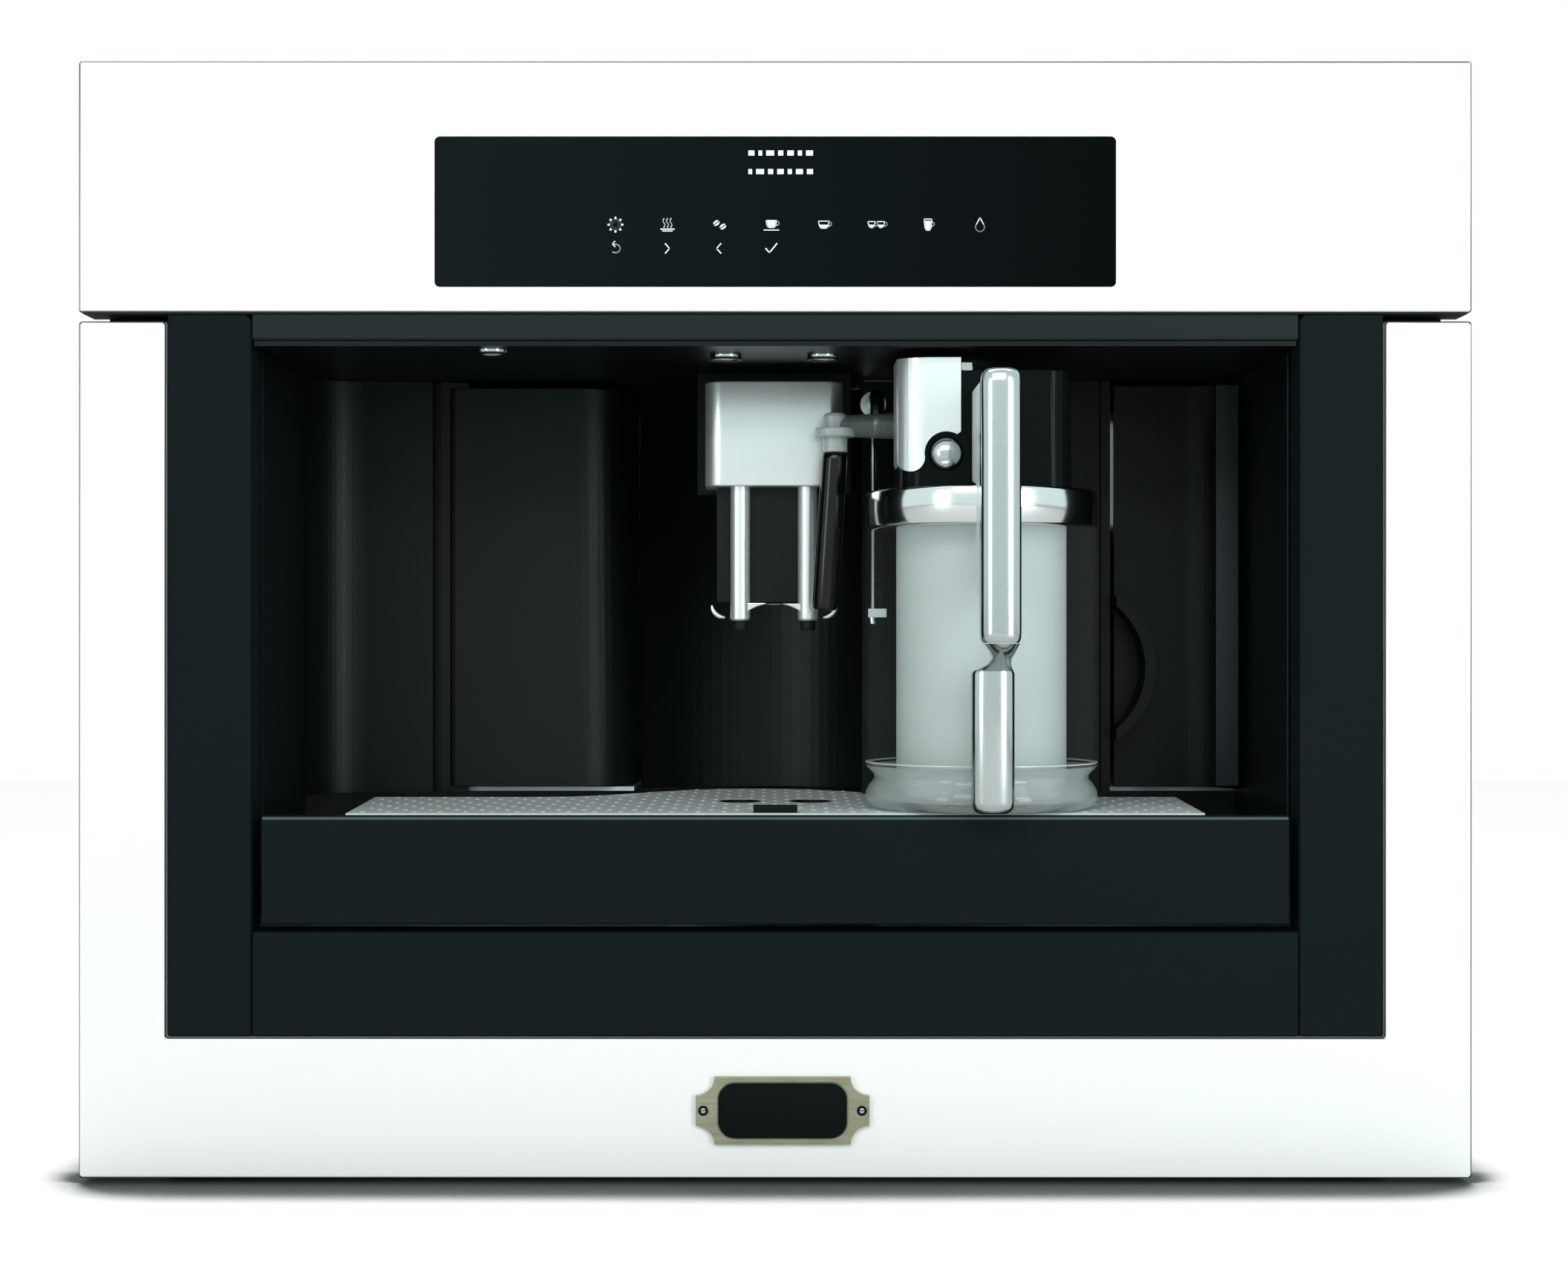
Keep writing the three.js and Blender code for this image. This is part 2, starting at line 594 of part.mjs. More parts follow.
function casing() {
  const ys = [CASING_FRONT, REAR_FRONT - SEAT];
  const sideHeights = [CASING_BOTTOM, ROOF_BOTTOM - SEAT];
  const sidePanel = (side) => block(span(side, CASING_INNER, CASING_HALF), ys, sideHeights);
  const inner = around(0, CASING_INNER - SEAT);
  const floor = block(around(0, CASING_HALF), ys, [CASING_BOTTOM, FLOOR_TOP]);
  const hopperHole = block(
    around(GRINDER_X, HOPPER_WIDTH / 2 + SEAT),
    around(GRINDER_DEPTH, HOPPER_LENGTH / 2 + SEAT),
    [ROOF_BOTTOM - 1, CASING_TOP + 1],
  );
  const roof = block(around(0, CASING_HALF), [CASING_FRONT, REAR_FRONT - SEAT], [ROOF_BOTTOM, CASING_TOP]);
  const deckFront = CAVITY_DEPTH + POST_DEPTH + CAVITY_SHEET + SEAT;
  const deck = cut(
    block(inner, [deckFront, REAR_FRONT - SEAT], [DECK_HEIGHT, DECK_TOP]),
    block([BAY_LEFT - 3, BAY_RIGHT + 3], [0, BAY_BACK + 3], [DECK_HEIGHT - 1, DECK_TOP + 1]),
  );
  const vent = (i) => block(
    around(40 + i * VENT_PITCH, VENT_WIDTH / 2),
    [REAR_FRONT - 1, MACHINE_DEPTH + 1],
    [SWITCH_Z + VENT_RISE, SWITCH_Z + VENT_RISE + VENT_LENGTH],
  );
  const vents = Array.from({ length: VENT_COUNT }, (_, i) => vent(i));
  const inletHole = block(
    around(INLET_X, INLET_WIDTH / 2 - 1),
    [REAR_FRONT - 1, MACHINE_DEPTH + 1],
    around(SWITCH_Z, INLET_HEIGHT / 2 - 1),
  );
  const switchHole = block(
    around(SWITCH_X, SWITCH_WIDTH / 2 - 1),
    [REAR_FRONT - 1, MACHINE_DEPTH + 1],
    around(SWITCH_Z, SWITCH_HEIGHT / 2 - 1),
  );
  const rear = cut(
    block(around(0, CASING_HALF), [REAR_FRONT, MACHINE_DEPTH], [CASING_BOTTOM, CASING_TOP]),
    inletHole,
    switchHole,
    ...vents,
  );
  return [
    part('chassis_shell', join(mirrored(sidePanel), floor, innerRails()), galvanised),
    part('chassis_deck', deck, galvanised),
    part('top_cover', cut(roof, hopperHole), galvanised),
    part('rear_panel', join(rear, mainsInlet(), switchSeat()), galvanised),
  ];
}

// The inlet is a box with a round-cornered well that holds three blades.
function mainsInlet() {
  const body = block(
    around(INLET_X, INLET_WIDTH / 2),
    [MACHINE_DEPTH - INLET_REACH, MACHINE_DEPTH],
    around(SWITCH_Z, INLET_HEIGHT / 2),
  );
  const well = block(
    around(INLET_X, INLET_WIDTH / 2 - 2),
    [MACHINE_DEPTH - INLET_REACH + 3, MACHINE_DEPTH + 1],
    around(SWITCH_Z, INLET_HEIGHT / 2 - 2),
  );
  const blade = (dx, dz) => block(
    around(INLET_X + dx, 1),
    [MACHINE_DEPTH - INLET_REACH + 1, MACHINE_DEPTH - 3],
    around(SWITCH_Z + dz, 2),
  );
  return join(cut(body, well), blade(-7, -1), blade(0, 3), blade(7, -1));
}

// The switch's fixed body: a well with the rocker's pin across it.
function switchSeat() {
  const shell = block(around(0, SWITCH_WIDTH / 2), [-SWITCH_REACH, 0], around(0, SWITCH_HEIGHT / 2));
  const well = block(
    around(0, SWITCH_WIDTH / 2 - SWITCH_WALL),
    [SWITCH_WALL - SWITCH_REACH, 1],
    around(0, SWITCH_HEIGHT / 2 - SWITCH_WALL),
  );
  const pinEnd = (SWITCH_WIDTH - SWITCH_WALL) / 2;
  const pin = rodX(SWITCH_PIN_RADIUS, -pinEnd, pinEnd, -SWITCH_PIVOT, 0, 12);
  return join(cut(shell, well), pin).translate([SWITCH_X, MACHINE_DEPTH, SWITCH_Z]);
}

function mainSwitch() {
  const face = SWITCH_HEIGHT / 2 - SWITCH_WALL - 1;
  const half = SWITCH_WIDTH / 2 - SWITCH_WALL - TURN_FIT;
  const keel = 4;
  const profile = polygon([
    [-keel, -keel], [ROCKER_EDGE, -face], [ROCKER_PROUD, -face], [ROCKER_EDGE + 1, 0],
    [ROCKER_EDGE + 1.7, face], [ROCKER_EDGE, face], [-keel, keel],
  ]);
  const pinHole = rodX(SWITCH_PIN_RADIUS + TURN_FIT, -SWITCH_WIDTH, SWITCH_WIDTH, 0, 0, 12);
  const mesh = part('main_switch', cut(prismX(profile, -half, half), pinHole), blackPlastic);
  mesh.position.set(SWITCH_X, MACHINE_DEPTH - SWITCH_PIVOT, SWITCH_Z);
  return mesh;
}

// ---------------------------------------------------------------- front
function controlFascia() {
  const outline = (inset) => roundedRect(
    around(0, HALF - inset),
    [FASCIA_BOTTOM + inset, FRONT_TOP - inset],
    Math.max(FRONT_EDGE * 1.3 - inset, 0.2),
  );
  const window = prismY(roundedRect(
    around(0, GLASS_WIDTH / 2 + SEAT),
    around(GLASS_Z, GLASS_HEIGHT / 2 + SEAT),
    GLASS_CORNER + SEAT,
  ), -1, FRONT_THICKNESS, 4);
  const skin = frontSkin(outline, 0, FRONT_THICKNESS, FRONT_SKIN, [window]);
  const glass = prismY(roundedRect(
    around(0, GLASS_WIDTH / 2),
    around(GLASS_Z, GLASS_HEIGHT / 2),
    GLASS_CORNER,
  ), 0.1, GLASS_THICKNESS, 4);
  const boardFront = FRONT_SKIN + SEAT;
  const housing = cut(
    block(
      around(0, GLASS_WIDTH / 2 + BOARD_MARGIN),
      [boardFront, boardFront + BOARD_DEPTH],
      around(GLASS_Z, GLASS_HEIGHT / 2 + BOARD_MARGIN),
    ),
    block(
      around(0, GLASS_WIDTH / 2 + 2 * SEAT),
      [0, GLASS_THICKNESS + SEAT],
      around(GLASS_Z, GLASS_HEIGHT / 2 + 2 * SEAT),
    ),
  );
  return [
    part('control_fascia', skin, whitePaint),
    part('display_glass', glass, blackGlass),
    part('control_board', housing, blackPlastic),
  ];
}

function lowerFrame() {
  const outline = (inset) => polygon([
    [-HALF + inset, SHELF_GAP + inset],
    [HALF - inset, SHELF_GAP + inset],
    [HALF - inset, FRAME_TOP - inset],
    [FRAME_INNER + inset, FRAME_TOP - inset],
    [FRAME_INNER + inset, FRAME_FLOOR - inset],
    [-FRAME_INNER - inset, FRAME_FLOOR - inset],
    [-FRAME_INNER - inset, FRAME_TOP - inset],
    [-HALF + inset, FRAME_TOP - inset],
  ]);
  return part('lower_frame', frontSkin(outline, 0, FRONT_THICKNESS, FRONT_SKIN), whitePaint);
}

// A plate whose corners are drawn in by quarter circles.
function notchedPlate(halfWidth, halfHeight, notch) {
  const shape = new THREE.Shape();
  shape.moveTo(-halfWidth + notch, -halfHeight);
  shape.lineTo(halfWidth - notch, -halfHeight);
  shape.absarc(halfWidth, -halfHeight, notch, Math.PI, Math.PI / 2, true);
  shape.lineTo(halfWidth, halfHeight - notch);
  shape.absarc(halfWidth, halfHeight, notch, Math.PI * 1.5, Math.PI, true);
  shape.lineTo(-halfWidth + notch, halfHeight);
  shape.absarc(-halfWidth, halfHeight, notch, 0, -Math.PI / 2, true);
  shape.lineTo(-halfWidth, -halfHeight + notch);
  shape.absarc(-halfWidth, -halfHeight, notch, Math.PI / 2, 0, true);
  return shape;
}

function namePlate() {
  const inlay = roundedRect(around(0, INLAY_WIDTH / 2), around(0, INLAY_HEIGHT / 2), INLAY_RADIUS);
  const screwX = PLATE_WIDTH / 2 - PLATE_SCREW_INSET;
  const hole = (side) => rodY(PLATE_SCREW_RADIUS + 0.8, -1, PLATE_SINK, side * screwX, 0, 12);
  const body = cut(
    prismY(notchedPlate(PLATE_WIDTH / 2, PLATE_HEIGHT / 2, PLATE_NOTCH), 0, PLATE_THICKNESS, 4),
    prismY(inlay, -1, INLAY_DEPTH, 5),
    ...sides.map(hole),
  );
  const screw = (side) => rodY(PLATE_SCREW_RADIUS, 0, PLATE_THICKNESS, side * screwX, 0, 12);
  const mesh = part('name_plate', join(body, mirrored(screw)), brass);
  mesh.position.set(PLATE_OFFSET_X, -PLATE_THICKNESS, PLATE_CENTRE_HEIGHT + SHELF_GAP);
  return mesh;
}

function darkFront() {
  const pillar = (side) => {
    const outline = (inset) => {
      const [near, far] = [PILLAR_INNER + inset, PILLAR_OUTER - inset];
      const top = HEADER_TOP - inset;
      const points = [[far, LOWER_PANEL_BOTTOM + inset], [far, top], [near + PILLAR_CHAMFER, top]];
      points.push([near, top - PILLAR_CHAMFER], [near, LOWER_PANEL_BOTTOM + inset]);
      return polygon(points.map(([x, z]) => [side * x, z]));
    };
    return frontSkin(outline, PILLAR_RECESS, FRONT_THICKNESS - PILLAR_RECESS, FRONT_SKIN);
  };
  const bar = (half, bottom, top) => {
    const outline = (inset) => polygon([
      [-half + inset, bottom + inset], [half - inset, bottom + inset],
      [half - inset, top - inset], [-half + inset, top - inset],
    ]);
    return frontSkin(outline, PILLAR_RECESS, FRONT_THICKNESS - PILLAR_RECESS, FRONT_SKIN);
  };
  return [
    part('pillar_left', pillar(-1), charcoal),
    part('pillar_right', pillar(1), charcoal),
    part('header_strip', bar(PANEL_HALF, HEADER_BOTTOM, HEADER_TOP), charcoal),
    part('lower_panel', bar(PANEL_HALF, LOWER_PANEL_BOTTOM, LOWER_PANEL_TOP), charcoal),
  ];
}

// ---------------------------------------------------------------- cavity
const CEILING_BACK = BAY_BACK + CAVITY_SHEET + 1;

function cavityCeiling() {
  const sheet = block(
    around(0, CAVITY_HALF),
    [CARRIER_BACK + SEAT, CEILING_BACK],
    [CAVITY_TOP, CAVITY_TOP + CAVITY_SHEET],
  );
  const lipHeights = [CAVITY_TOP, HEADER_BOTTOM - SEAT];
  const lip = block(around(0, CAVITY_HALF), [PILLAR_RECESS + 2, CARRIER_BACK + 1], lipHeights);
  const bottom = CAVITY_TOP - LIGHT_DROP;
  const lamp = ([x, y]) => cut(
    rodZ(LIGHT_RADIUS, bottom, CAVITY_TOP + WELD, x, y, 20),
    rodZ(LIGHT_RADIUS - LIGHT_RING, bottom - 1, bottom + 1, x, y, 20),
  );
  return part('cavity_ceiling', join(sheet, lip, ...LIGHT_SPOTS.map(lamp)), blackPlastic);
}

const WALL_START = CARRIER_BACK + SEAT;
const WALL_TOP = CAVITY_TOP - SEAT;

// The ledge along the foot of a side wall that the drip tray's basin slides on.
function trayLedge(side) {
  const top = BASIN_BOTTOM - SEAT;
  const reach = GRID_HALF_FRONT - BASIN_INSET - LEDGE_LAP;
  return block(span(side, reach, CAVITY_HALF + WELD), [WALL_START, CAVITY_DEPTH], [top - CAVITY_SHEET, top]);
}

function tankGuide() {
  const back = REAR_FRONT - 2 * SEAT;
  const wallXs = [CAVITY_HALF, CAVITY_HALF + CAVITY_SHEET];
  const upper = block(wallXs, [WALL_START, back], [DECK_TOP + SEAT, WALL_TOP]);
  const lower = block(
    [CAVITY_HALF, CAVITY_HALF + CAVITY_SHEET],
    [WALL_START, CAVITY_DEPTH],
    [TRAY_FRONT_BOTTOM, DECK_TOP + 1],
  );
  return part('tank_guide', join(upper, lower, trayLedge(1)), blackPlastic);
}

// The left back panel: round corner, flat, then a groove with the hinge post's rib.
function cornerPanel() {
  const zs = [CAVITY_FLOOR + SEAT, CAVITY_TOP - SEAT];
  const sheet = CAVITY_SHEET;
  const back = CAVITY_DEPTH;
  const start = back - CORNER_RADIUS;
  const cornerX = -CAVITY_HALF + CORNER_RADIUS;
  const shape = new THREE.Shape();
  shape.moveTo(-CAVITY_HALF, start);
  shape.absarc(cornerX, back - CORNER_RADIUS, CORNER_RADIUS, Math.PI * 0.996, Math.PI / 2, true);
  shape.lineTo(POST_LEFT, back);
  shape.lineTo(POST_LEFT, back + POST_DEPTH);
  shape.lineTo(POST_RIB_LEFT, back + POST_DEPTH);
  shape.lineTo(POST_RIB_LEFT, back + 2);
  shape.lineTo(POST_RIB_RIGHT, back + 2);
  shape.lineTo(POST_RIB_RIGHT, back + POST_DEPTH);
  shape.lineTo(HINGE_X + HINGE_INSET, back + POST_DEPTH);
  shape.lineTo(HINGE_X + HINGE_INSET, back + POST_DEPTH + sheet);
  shape.lineTo(POST_LEFT - sheet, back + POST_DEPTH + sheet);
  shape.lineTo(POST_LEFT - sheet, back + sheet);
  shape.lineTo(cornerX, back + sheet);
  shape.absarc(cornerX, back - CORNER_RADIUS, CORNER_RADIUS + sheet, Math.PI / 2, Math.PI * 0.996, false);
  const earXs = [POST_RIB_RIGHT - 1, HINGE_X + HINGE_INSET];
  const earYs = [HINGE_Y - HINGE_EAR_FRONT, back + POST_DEPTH + WELD];
  const ear = (z0) => block(earXs, earYs, [z0, z0 + HINGE_EAR]);
  const pin = (z0) => rodZ(HINGE_PIN_RADIUS, z0, z0 + 8, HINGE_X, HINGE_Y, 12);
  const lowEar = DOOR_BOTTOM - TURN_FIT - HINGE_EAR;
  const highEar = DOOR_TOP + TURN_FIT;
  const wall = block(
    [-CAVITY_HALF - sheet, -CAVITY_HALF],
    [WALL_START, start + 1],
    [TRAY_FRONT_BOTTOM, WALL_TOP],
  );
  return part('left_liner', join(
    prismZ(shape, ...zs),
    wall,
    trayLedge(-1),
    ear(lowEar),
    pin(lowEar + HINGE_EAR - 1),
    ear(highEar),
    pin(highEar - 7),
  ), blackPlastic);
}

function serviceDoor() {
  const at = new THREE.Group();
  at.position.set(HINGE_X, HINGE_Y, 0);
  const [left, right] = [DOOR_LEFT - HINGE_X, DOOR_RIGHT - HINGE_X];
  const face = CAVITY_DEPTH - HINGE_Y;
  const noseX = right - DOOR_NOSE_RADIUS;
  const noseY = face + DOOR_NOSE_RADIUS;
  const shape = new THREE.Shape();
  shape.moveTo(left, face);
  shape.lineTo(noseX, face);
  shape.absarc(noseX, noseY, DOOR_NOSE_RADIUS, -Math.PI / 2, 0);
  shape.lineTo(right - DOOR_SHEET, noseY);
  shape.absarc(noseX, noseY, DOOR_NOSE_RADIUS - DOOR_SHEET, 0, -Math.PI / 2, true);
  shape.lineTo(left, face + DOOR_SHEET);
  const zs = [DOOR_BOTTOM, DOOR_TOP];
  const knuckle = rodZ(KNUCKLE_RADIUS, ...zs, 0, 0, 16);
  const web = block([-1, 3], [face + 1, 0], zs);
  const bore = rodZ(HINGE_PIN_RADIUS + TURN_FIT, zs[0] - 1, zs[1] + 1, 0, 0, 12);
  at.add(part('service_door', cut(join(prismZ(shape, ...zs, 6), knuckle, web), bore), blackPlastic));
  return at;
}

// The bay behind the cups: a hollow round back and a straight right cheek.
function centreBay() {
  const half = (BAY_RIGHT - BAY_LEFT) / 2;
  const rise = BAY_BACK - BAY_MOUTH;
  const radius = (half * half + rise * rise) / (2 * rise);
  const centre = [(BAY_LEFT + BAY_RIGHT) / 2, BAY_BACK - radius];
  const reach = Math.asin(half / radius);
  const shape = new THREE.Shape();
  const sheet = CAVITY_SHEET;
  shape.absarc(...centre, radius, Math.PI / 2 + reach, Math.PI / 2 - reach, true);
  shape.lineTo(BAY_RIGHT, CAVITY_DEPTH);
  shape.lineTo(BAY_RIGHT + sheet, CAVITY_DEPTH);
  shape.lineTo(BAY_RIGHT + sheet, BAY_MOUTH + 1);
  shape.absarc(...centre, radius + sheet, Math.PI / 2 - reach, Math.PI / 2 + reach, false);
  return part('bay_panel', join(
    prismZ(shape, CAVITY_FLOOR + SEAT, CAVITY_TOP - SEAT, 12),
    rightBackPanel(),
  ), blackPlastic);
}

function rightBackPanel() {
  const left = BAY_RIGHT;
  const right = TANK_LEFT - SLIDE_FIT - 2;
  const zs = [CAVITY_FLOOR + SEAT, CAVITY_TOP - SEAT];
  const sheet = block([left, right], [CAVITY_DEPTH, CAVITY_DEPTH + CAVITY_SHEET], zs);
  const rib = block([right - RIB_WIDTH, right], [CAVITY_DEPTH - RIB_PROUD, CAVITY_DEPTH + POST_DEPTH], zs);
  return join(sheet, rib);
}

// ---------------------------------------------------------------- coffee spout
function coffeeSpout() {
  const at = new THREE.Group();
  at.position.set(SPOUT_X, 0, 0);
  const half = COVER_WIDTH / 2;
  const coverPlan = (inset) => {
    const radius = COVER_CORNER - inset;
    const shape = new THREE.Shape();
    shape.moveTo(-half + inset, COVER_BACK + (inset ? 1 : 0));
    shape.lineTo(-half + inset, COVER_FRONT + inset + radius);
    shape.absarc(-half + inset + radius, COVER_FRONT + inset + radius, radius, Math.PI, Math.PI * 1.5);
    shape.absarc(half - inset - radius, COVER_FRONT + inset + radius, radius, -Math.PI / 2, 0);
    shape.lineTo(half - inset, COVER_BACK + (inset ? 1 : 0));
    return shape;
  };
  const cover = cut(
    prismZ(coverPlan(0), COVER_BOTTOM, COVER_TOP, 5),
    prismZ(coverPlan(COVER_WALL), COVER_BOTTOM - 1, COVER_TOP - COVER_WALL, 5),
  );
  const grooveYs = [HOUSING_FRONT - 1, HOUSING_FRONT + GUIDE_REACH];
  const groove = block(around(0, GUIDE_HALF), grooveYs, [COVER_BOTTOM - 1, COVER_TOP]);
  const housing = cut(
    block(around(0, HOUSING_WIDTH / 2), [HOUSING_FRONT, HOUSING_BACK], [COVER_BOTTOM - 2, CAVITY_TOP - SEAT]),
    groove,
  );
  const carriageTop = COVER_BOTTOM + CARRIAGE_RISE;
  const tubeX = (side) => side * TUBE_SPACING / 2;
  const tubeBore = (side) => rodZ(TUBE_RADIUS + SEAT, LIP_TOP, carriageTop + 1, tubeX(side), TUBE_DEPTH, 20);
  const guide = block(
    around(0, GUIDE_HALF - SLIDE_FIT),
    [CARRIAGE_BACK - 1, HOUSING_FRONT + GUIDE_REACH - SLIDE_FIT],
    [COVER_BOTTOM, carriageTop],
  );
  const body = cut(join(
    block(around(0, CARRIAGE_WIDTH / 2), [CARRIAGE_FRONT, CARRIAGE_BACK], [LIP_TOP + SEAT, carriageTop]),
    guide,
  ), ...sides.map(tubeBore));
  const tube = (side) => rodZ(TUBE_RADIUS, TUBE_BOTTOM, carriageTop, tubeX(side), TUBE_DEPTH, 20);
  const lipEnd = LIP_HALF - 4;
  const lip = new THREE.Shape();
  lip.moveTo(-LIP_HALF, LIP_TOP);
  lip.absarc(-lipEnd, LIP_TOP, 4, Math.PI, Math.PI * 1.5);
  lip.lineTo(-TUBE_SPACING / 2, TUBE_BOTTOM + 2);
  lip.quadraticCurveTo(0, TUBE_BOTTOM + 10, TUBE_SPACING / 2, TUBE_BOTTOM + 2);
  lip.lineTo(lipEnd, LIP_TOP - 4);
  lip.absarc(lipEnd, LIP_TOP, 4, -Math.PI / 2, 0);
  const lipPlate = prismY(lip, TUBE_DEPTH - 3, CARRIAGE_BACK, 4);
  const nozzleTip = TUBE_BOTTOM - NOZZLE_LENGTH;
  const nozzle = (side) => rodZ(NOZZLE_RADIUS, nozzleTip, TUBE_BOTTOM + 1, tubeX(side), TUBE_DEPTH, 12);
  at.add(
    part('spout_cover', cover, chrome),
    part('spout_housing', housing, blackPlastic),
    part('spout_carriage', body, blackPlastic),
    part('spout_tubes', join(mirrored(tube), lipPlate, mirrored(nozzle)), chrome),
  );
  return at;
}

// ---------------------------------------------------------------- water and steam outlets
class ElbowPath extends THREE.Curve {
  // From the back wall forwards, round a quarter bend, then down.
  getPoint(t) {
    const straight = CAVITY_DEPTH - WATER_DEPTH - WATER_ELBOW_BEND;
    const arc = WATER_ELBOW_BEND * Math.PI / 2;
    const drop = 8;
    const way = t * (straight + arc + drop);
    if (way < straight) return new THREE.Vector3(0, CAVITY_DEPTH - way, WATER_ELBOW_Z);
    if (way < straight + arc) {
      const turn = (way - straight) / WATER_ELBOW_BEND;
      return new THREE.Vector3(
        0,
        WATER_DEPTH + WATER_ELBOW_BEND * (1 - Math.sin(turn)),
        WATER_ELBOW_Z - WATER_ELBOW_BEND * (1 - Math.cos(turn)),
      );
    }
    return new THREE.Vector3(0, WATER_DEPTH, WATER_ELBOW_Z - WATER_ELBOW_BEND - (way - straight - arc));
  }
}

function waterSpout() {
  const at = new THREE.Group();
  at.position.set(WATER_X + WATER_ELBOW_RADIUS, 0, 0);
  const ring = new THREE.Shape().absarc(0, 0, WATER_ELBOW_RADIUS, 0, Math.PI * 2);
  const elbow = new THREE.ExtrudeGeometry(ring, {
    steps: 14, curveSegments: 12, bevelEnabled: false, extrudePath: new ElbowPath(),
  });
  const drop = WATER_ELBOW_Z - WATER_ELBOW_BEND - 7;
  const tube = rodZ(WATER_TUBE_RADIUS, WATER_TIP_Z, drop, -2, WATER_DEPTH, 12);
  const footXs = [-4.4, SLEEVE_OFFSET + 0.4];
  const foot = block(footXs, around(WATER_DEPTH, 2.4), [WATER_TIP_Z + 2, WATER_TIP_Z + 6]);
  const tip = rodZ(2.2, WATER_TIP_Z - 1, WATER_TIP_Z + 3, -2, WATER_DEPTH, 12);
  const sleeveBottom = WATER_TIP_Z + 6 + SEAT;
  const profile = [[SLEEVE_BORE, sleeveBottom]];
  for (let i = 0; i < SLEEVE_RIBS; i += 1) {
    const z = sleeveBottom + i * SLEEVE_RIB_PITCH;
    profile.push([SLEEVE_RADIUS - 0.5, z], [SLEEVE_RADIUS, z + 0.4]);
    profile.push([SLEEVE_RADIUS, z + 1.2], [SLEEVE_RADIUS - 0.5, z + 1.6]);
  }
  const sleeveTop = sleeveBottom + SLEEVE_RIBS * SLEEVE_RIB_PITCH;
  profile.push([SLEEVE_BORE, sleeveTop], [SLEEVE_BORE, sleeveBottom]);
  const sleeve = turned(profile, 8).translate(SLEEVE_OFFSET - 2.2, WATER_DEPTH, 0);
  const flange = rodY(WATER_ELBOW_RADIUS + 3, CAVITY_DEPTH - 3, CAVITY_DEPTH, 0, WATER_ELBOW_Z, 16);
  at.add(
    part('water_spout', join(elbow, tube, foot, tip, flange), brushedSteel),
    part('water_spout_sleeve', sleeve, blackRubber),
  );
  return at;
}

function steamNozzle() {
  const pipe = rodY(STEAM_RADIUS, CAVITY_DEPTH - STEAM_REACH, CAVITY_DEPTH, JUG_X, STEAM_Z, 20);
  const flange = rodY(STEAM_FLANGE, CAVITY_DEPTH - 5, CAVITY_DEPTH, JUG_X, STEAM_Z, 20);
  return part('steam_nozzle', join(pipe, flange), brushedSteel);
}

// ---------------------------------------------------------------- drip tray drawer
// The grid's outline drawn in by inset: straight front and ends, a rounded tongue into the bay.
function gridOutline(inset, frontInset = inset) {
  const front = GRID_FRONT + frontInset;
  const back = GRID_BACK - inset;
  const tip = GRID_BULGE_BACK - inset;
  const [c, h] = [GRID_BULGE_CENTRE, GRID_BULGE_HALF - inset];
  const shape = new THREE.Shape();
  shape.moveTo(-GRID_HALF_FRONT + inset, front);
  shape.lineTo(GRID_HALF_FRONT - inset, front);
  shape.lineTo(GRID_HALF_BACK - inset, back);
  shape.lineTo(c + h, back);
  shape.bezierCurveTo(c + h * 0.55, back, c + h * 0.5, tip, c, tip);
  shape.bezierCurveTo(c - h * 0.5, tip, c - h * 0.55, back, c - h, back);
  shape.lineTo(-GRID_HALF_BACK + inset, back);
  return shape;
}

function dripTray() {
  const gridBottom = GRID_TOP - GRID_SHEET;
  const basinTop = gridBottom - SEAT;
  const basin = cut(
    prismZ(gridOutline(BASIN_INSET, 0), BASIN_BOTTOM, basinTop, 6),
    prismZ(gridOutline(BASIN_INSET + BASIN_WALL), BASIN_BOTTOM + BASIN_WALL, basinTop + 1, 6),
  );
  const ovalX = (side) => side * DRIP_HOLE_SPACING / 2;
  const ovalSize = [DRIP_HOLE_HALF, DRIP_HOLE_DEPTH];
  const oval = (side) => new THREE.Shape()
    .absellipse(ovalX(side), DRIP_HOLE_CENTRE, ...ovalSize, 0, Math.PI * 2);
  const floatSlot = block(
    around(0, FLOAT_HALF + FLOAT_FIT),
    [FLOAT_FRONT - FLOAT_FIT, FLOAT_FRONT + FLOAT_DEPTH + FLOAT_FIT],
    [gridBottom - 1, GRID_TOP + 1],
  );
  const holes = sides.map((side) => prismZ(oval(side), gridBottom - 1, GRID_TOP + 1, 7));
  const grid = cut(prismZ(gridOutline(0), gridBottom, GRID_TOP, 8), ...holes, floatSlot);
  const stemBottom = GRID_TOP - FLOAT_STEM;
  const stemYs = [FLOAT_FRONT, FLOAT_FRONT + FLOAT_DEPTH];
  const footYs = [FLOAT_FRONT, FLOAT_FRONT + 3 * FLOAT_DEPTH];
  const floatStem = block(around(0, FLOAT_HALF), stemYs, [stemBottom, GRID_TOP + FLOAT_PROUD]);
  const floatFoot = block(around(0, 2 * FLOAT_HALF), footYs, [stemBottom - FLOAT_FOOT, stemBottom]);
  const outline = (inset) => polygon([
    [-TRAY_HALF + inset, TRAY_FRONT_BOTTOM + inset], [TRAY_HALF - inset, TRAY_FRONT_BOTTOM + inset],
    [TRAY_HALF - inset, TRAY_FRONT_TOP - inset], [-TRAY_HALF + inset, TRAY_FRONT_TOP - inset],
  ]);
  const face = frontSkin(outline, PILLAR_RECESS, GRID_FRONT - PILLAR_RECESS - SEAT, FRONT_SKIN);
  return [
    part('drip_tray_front', face, charcoal),
    part('drip_tray', basin, blackPlastic),
    part('cup_grid', grid, brushedSteel),
    part('tray_float', join(floatStem, floatFoot), blackPlastic),
  ];
}

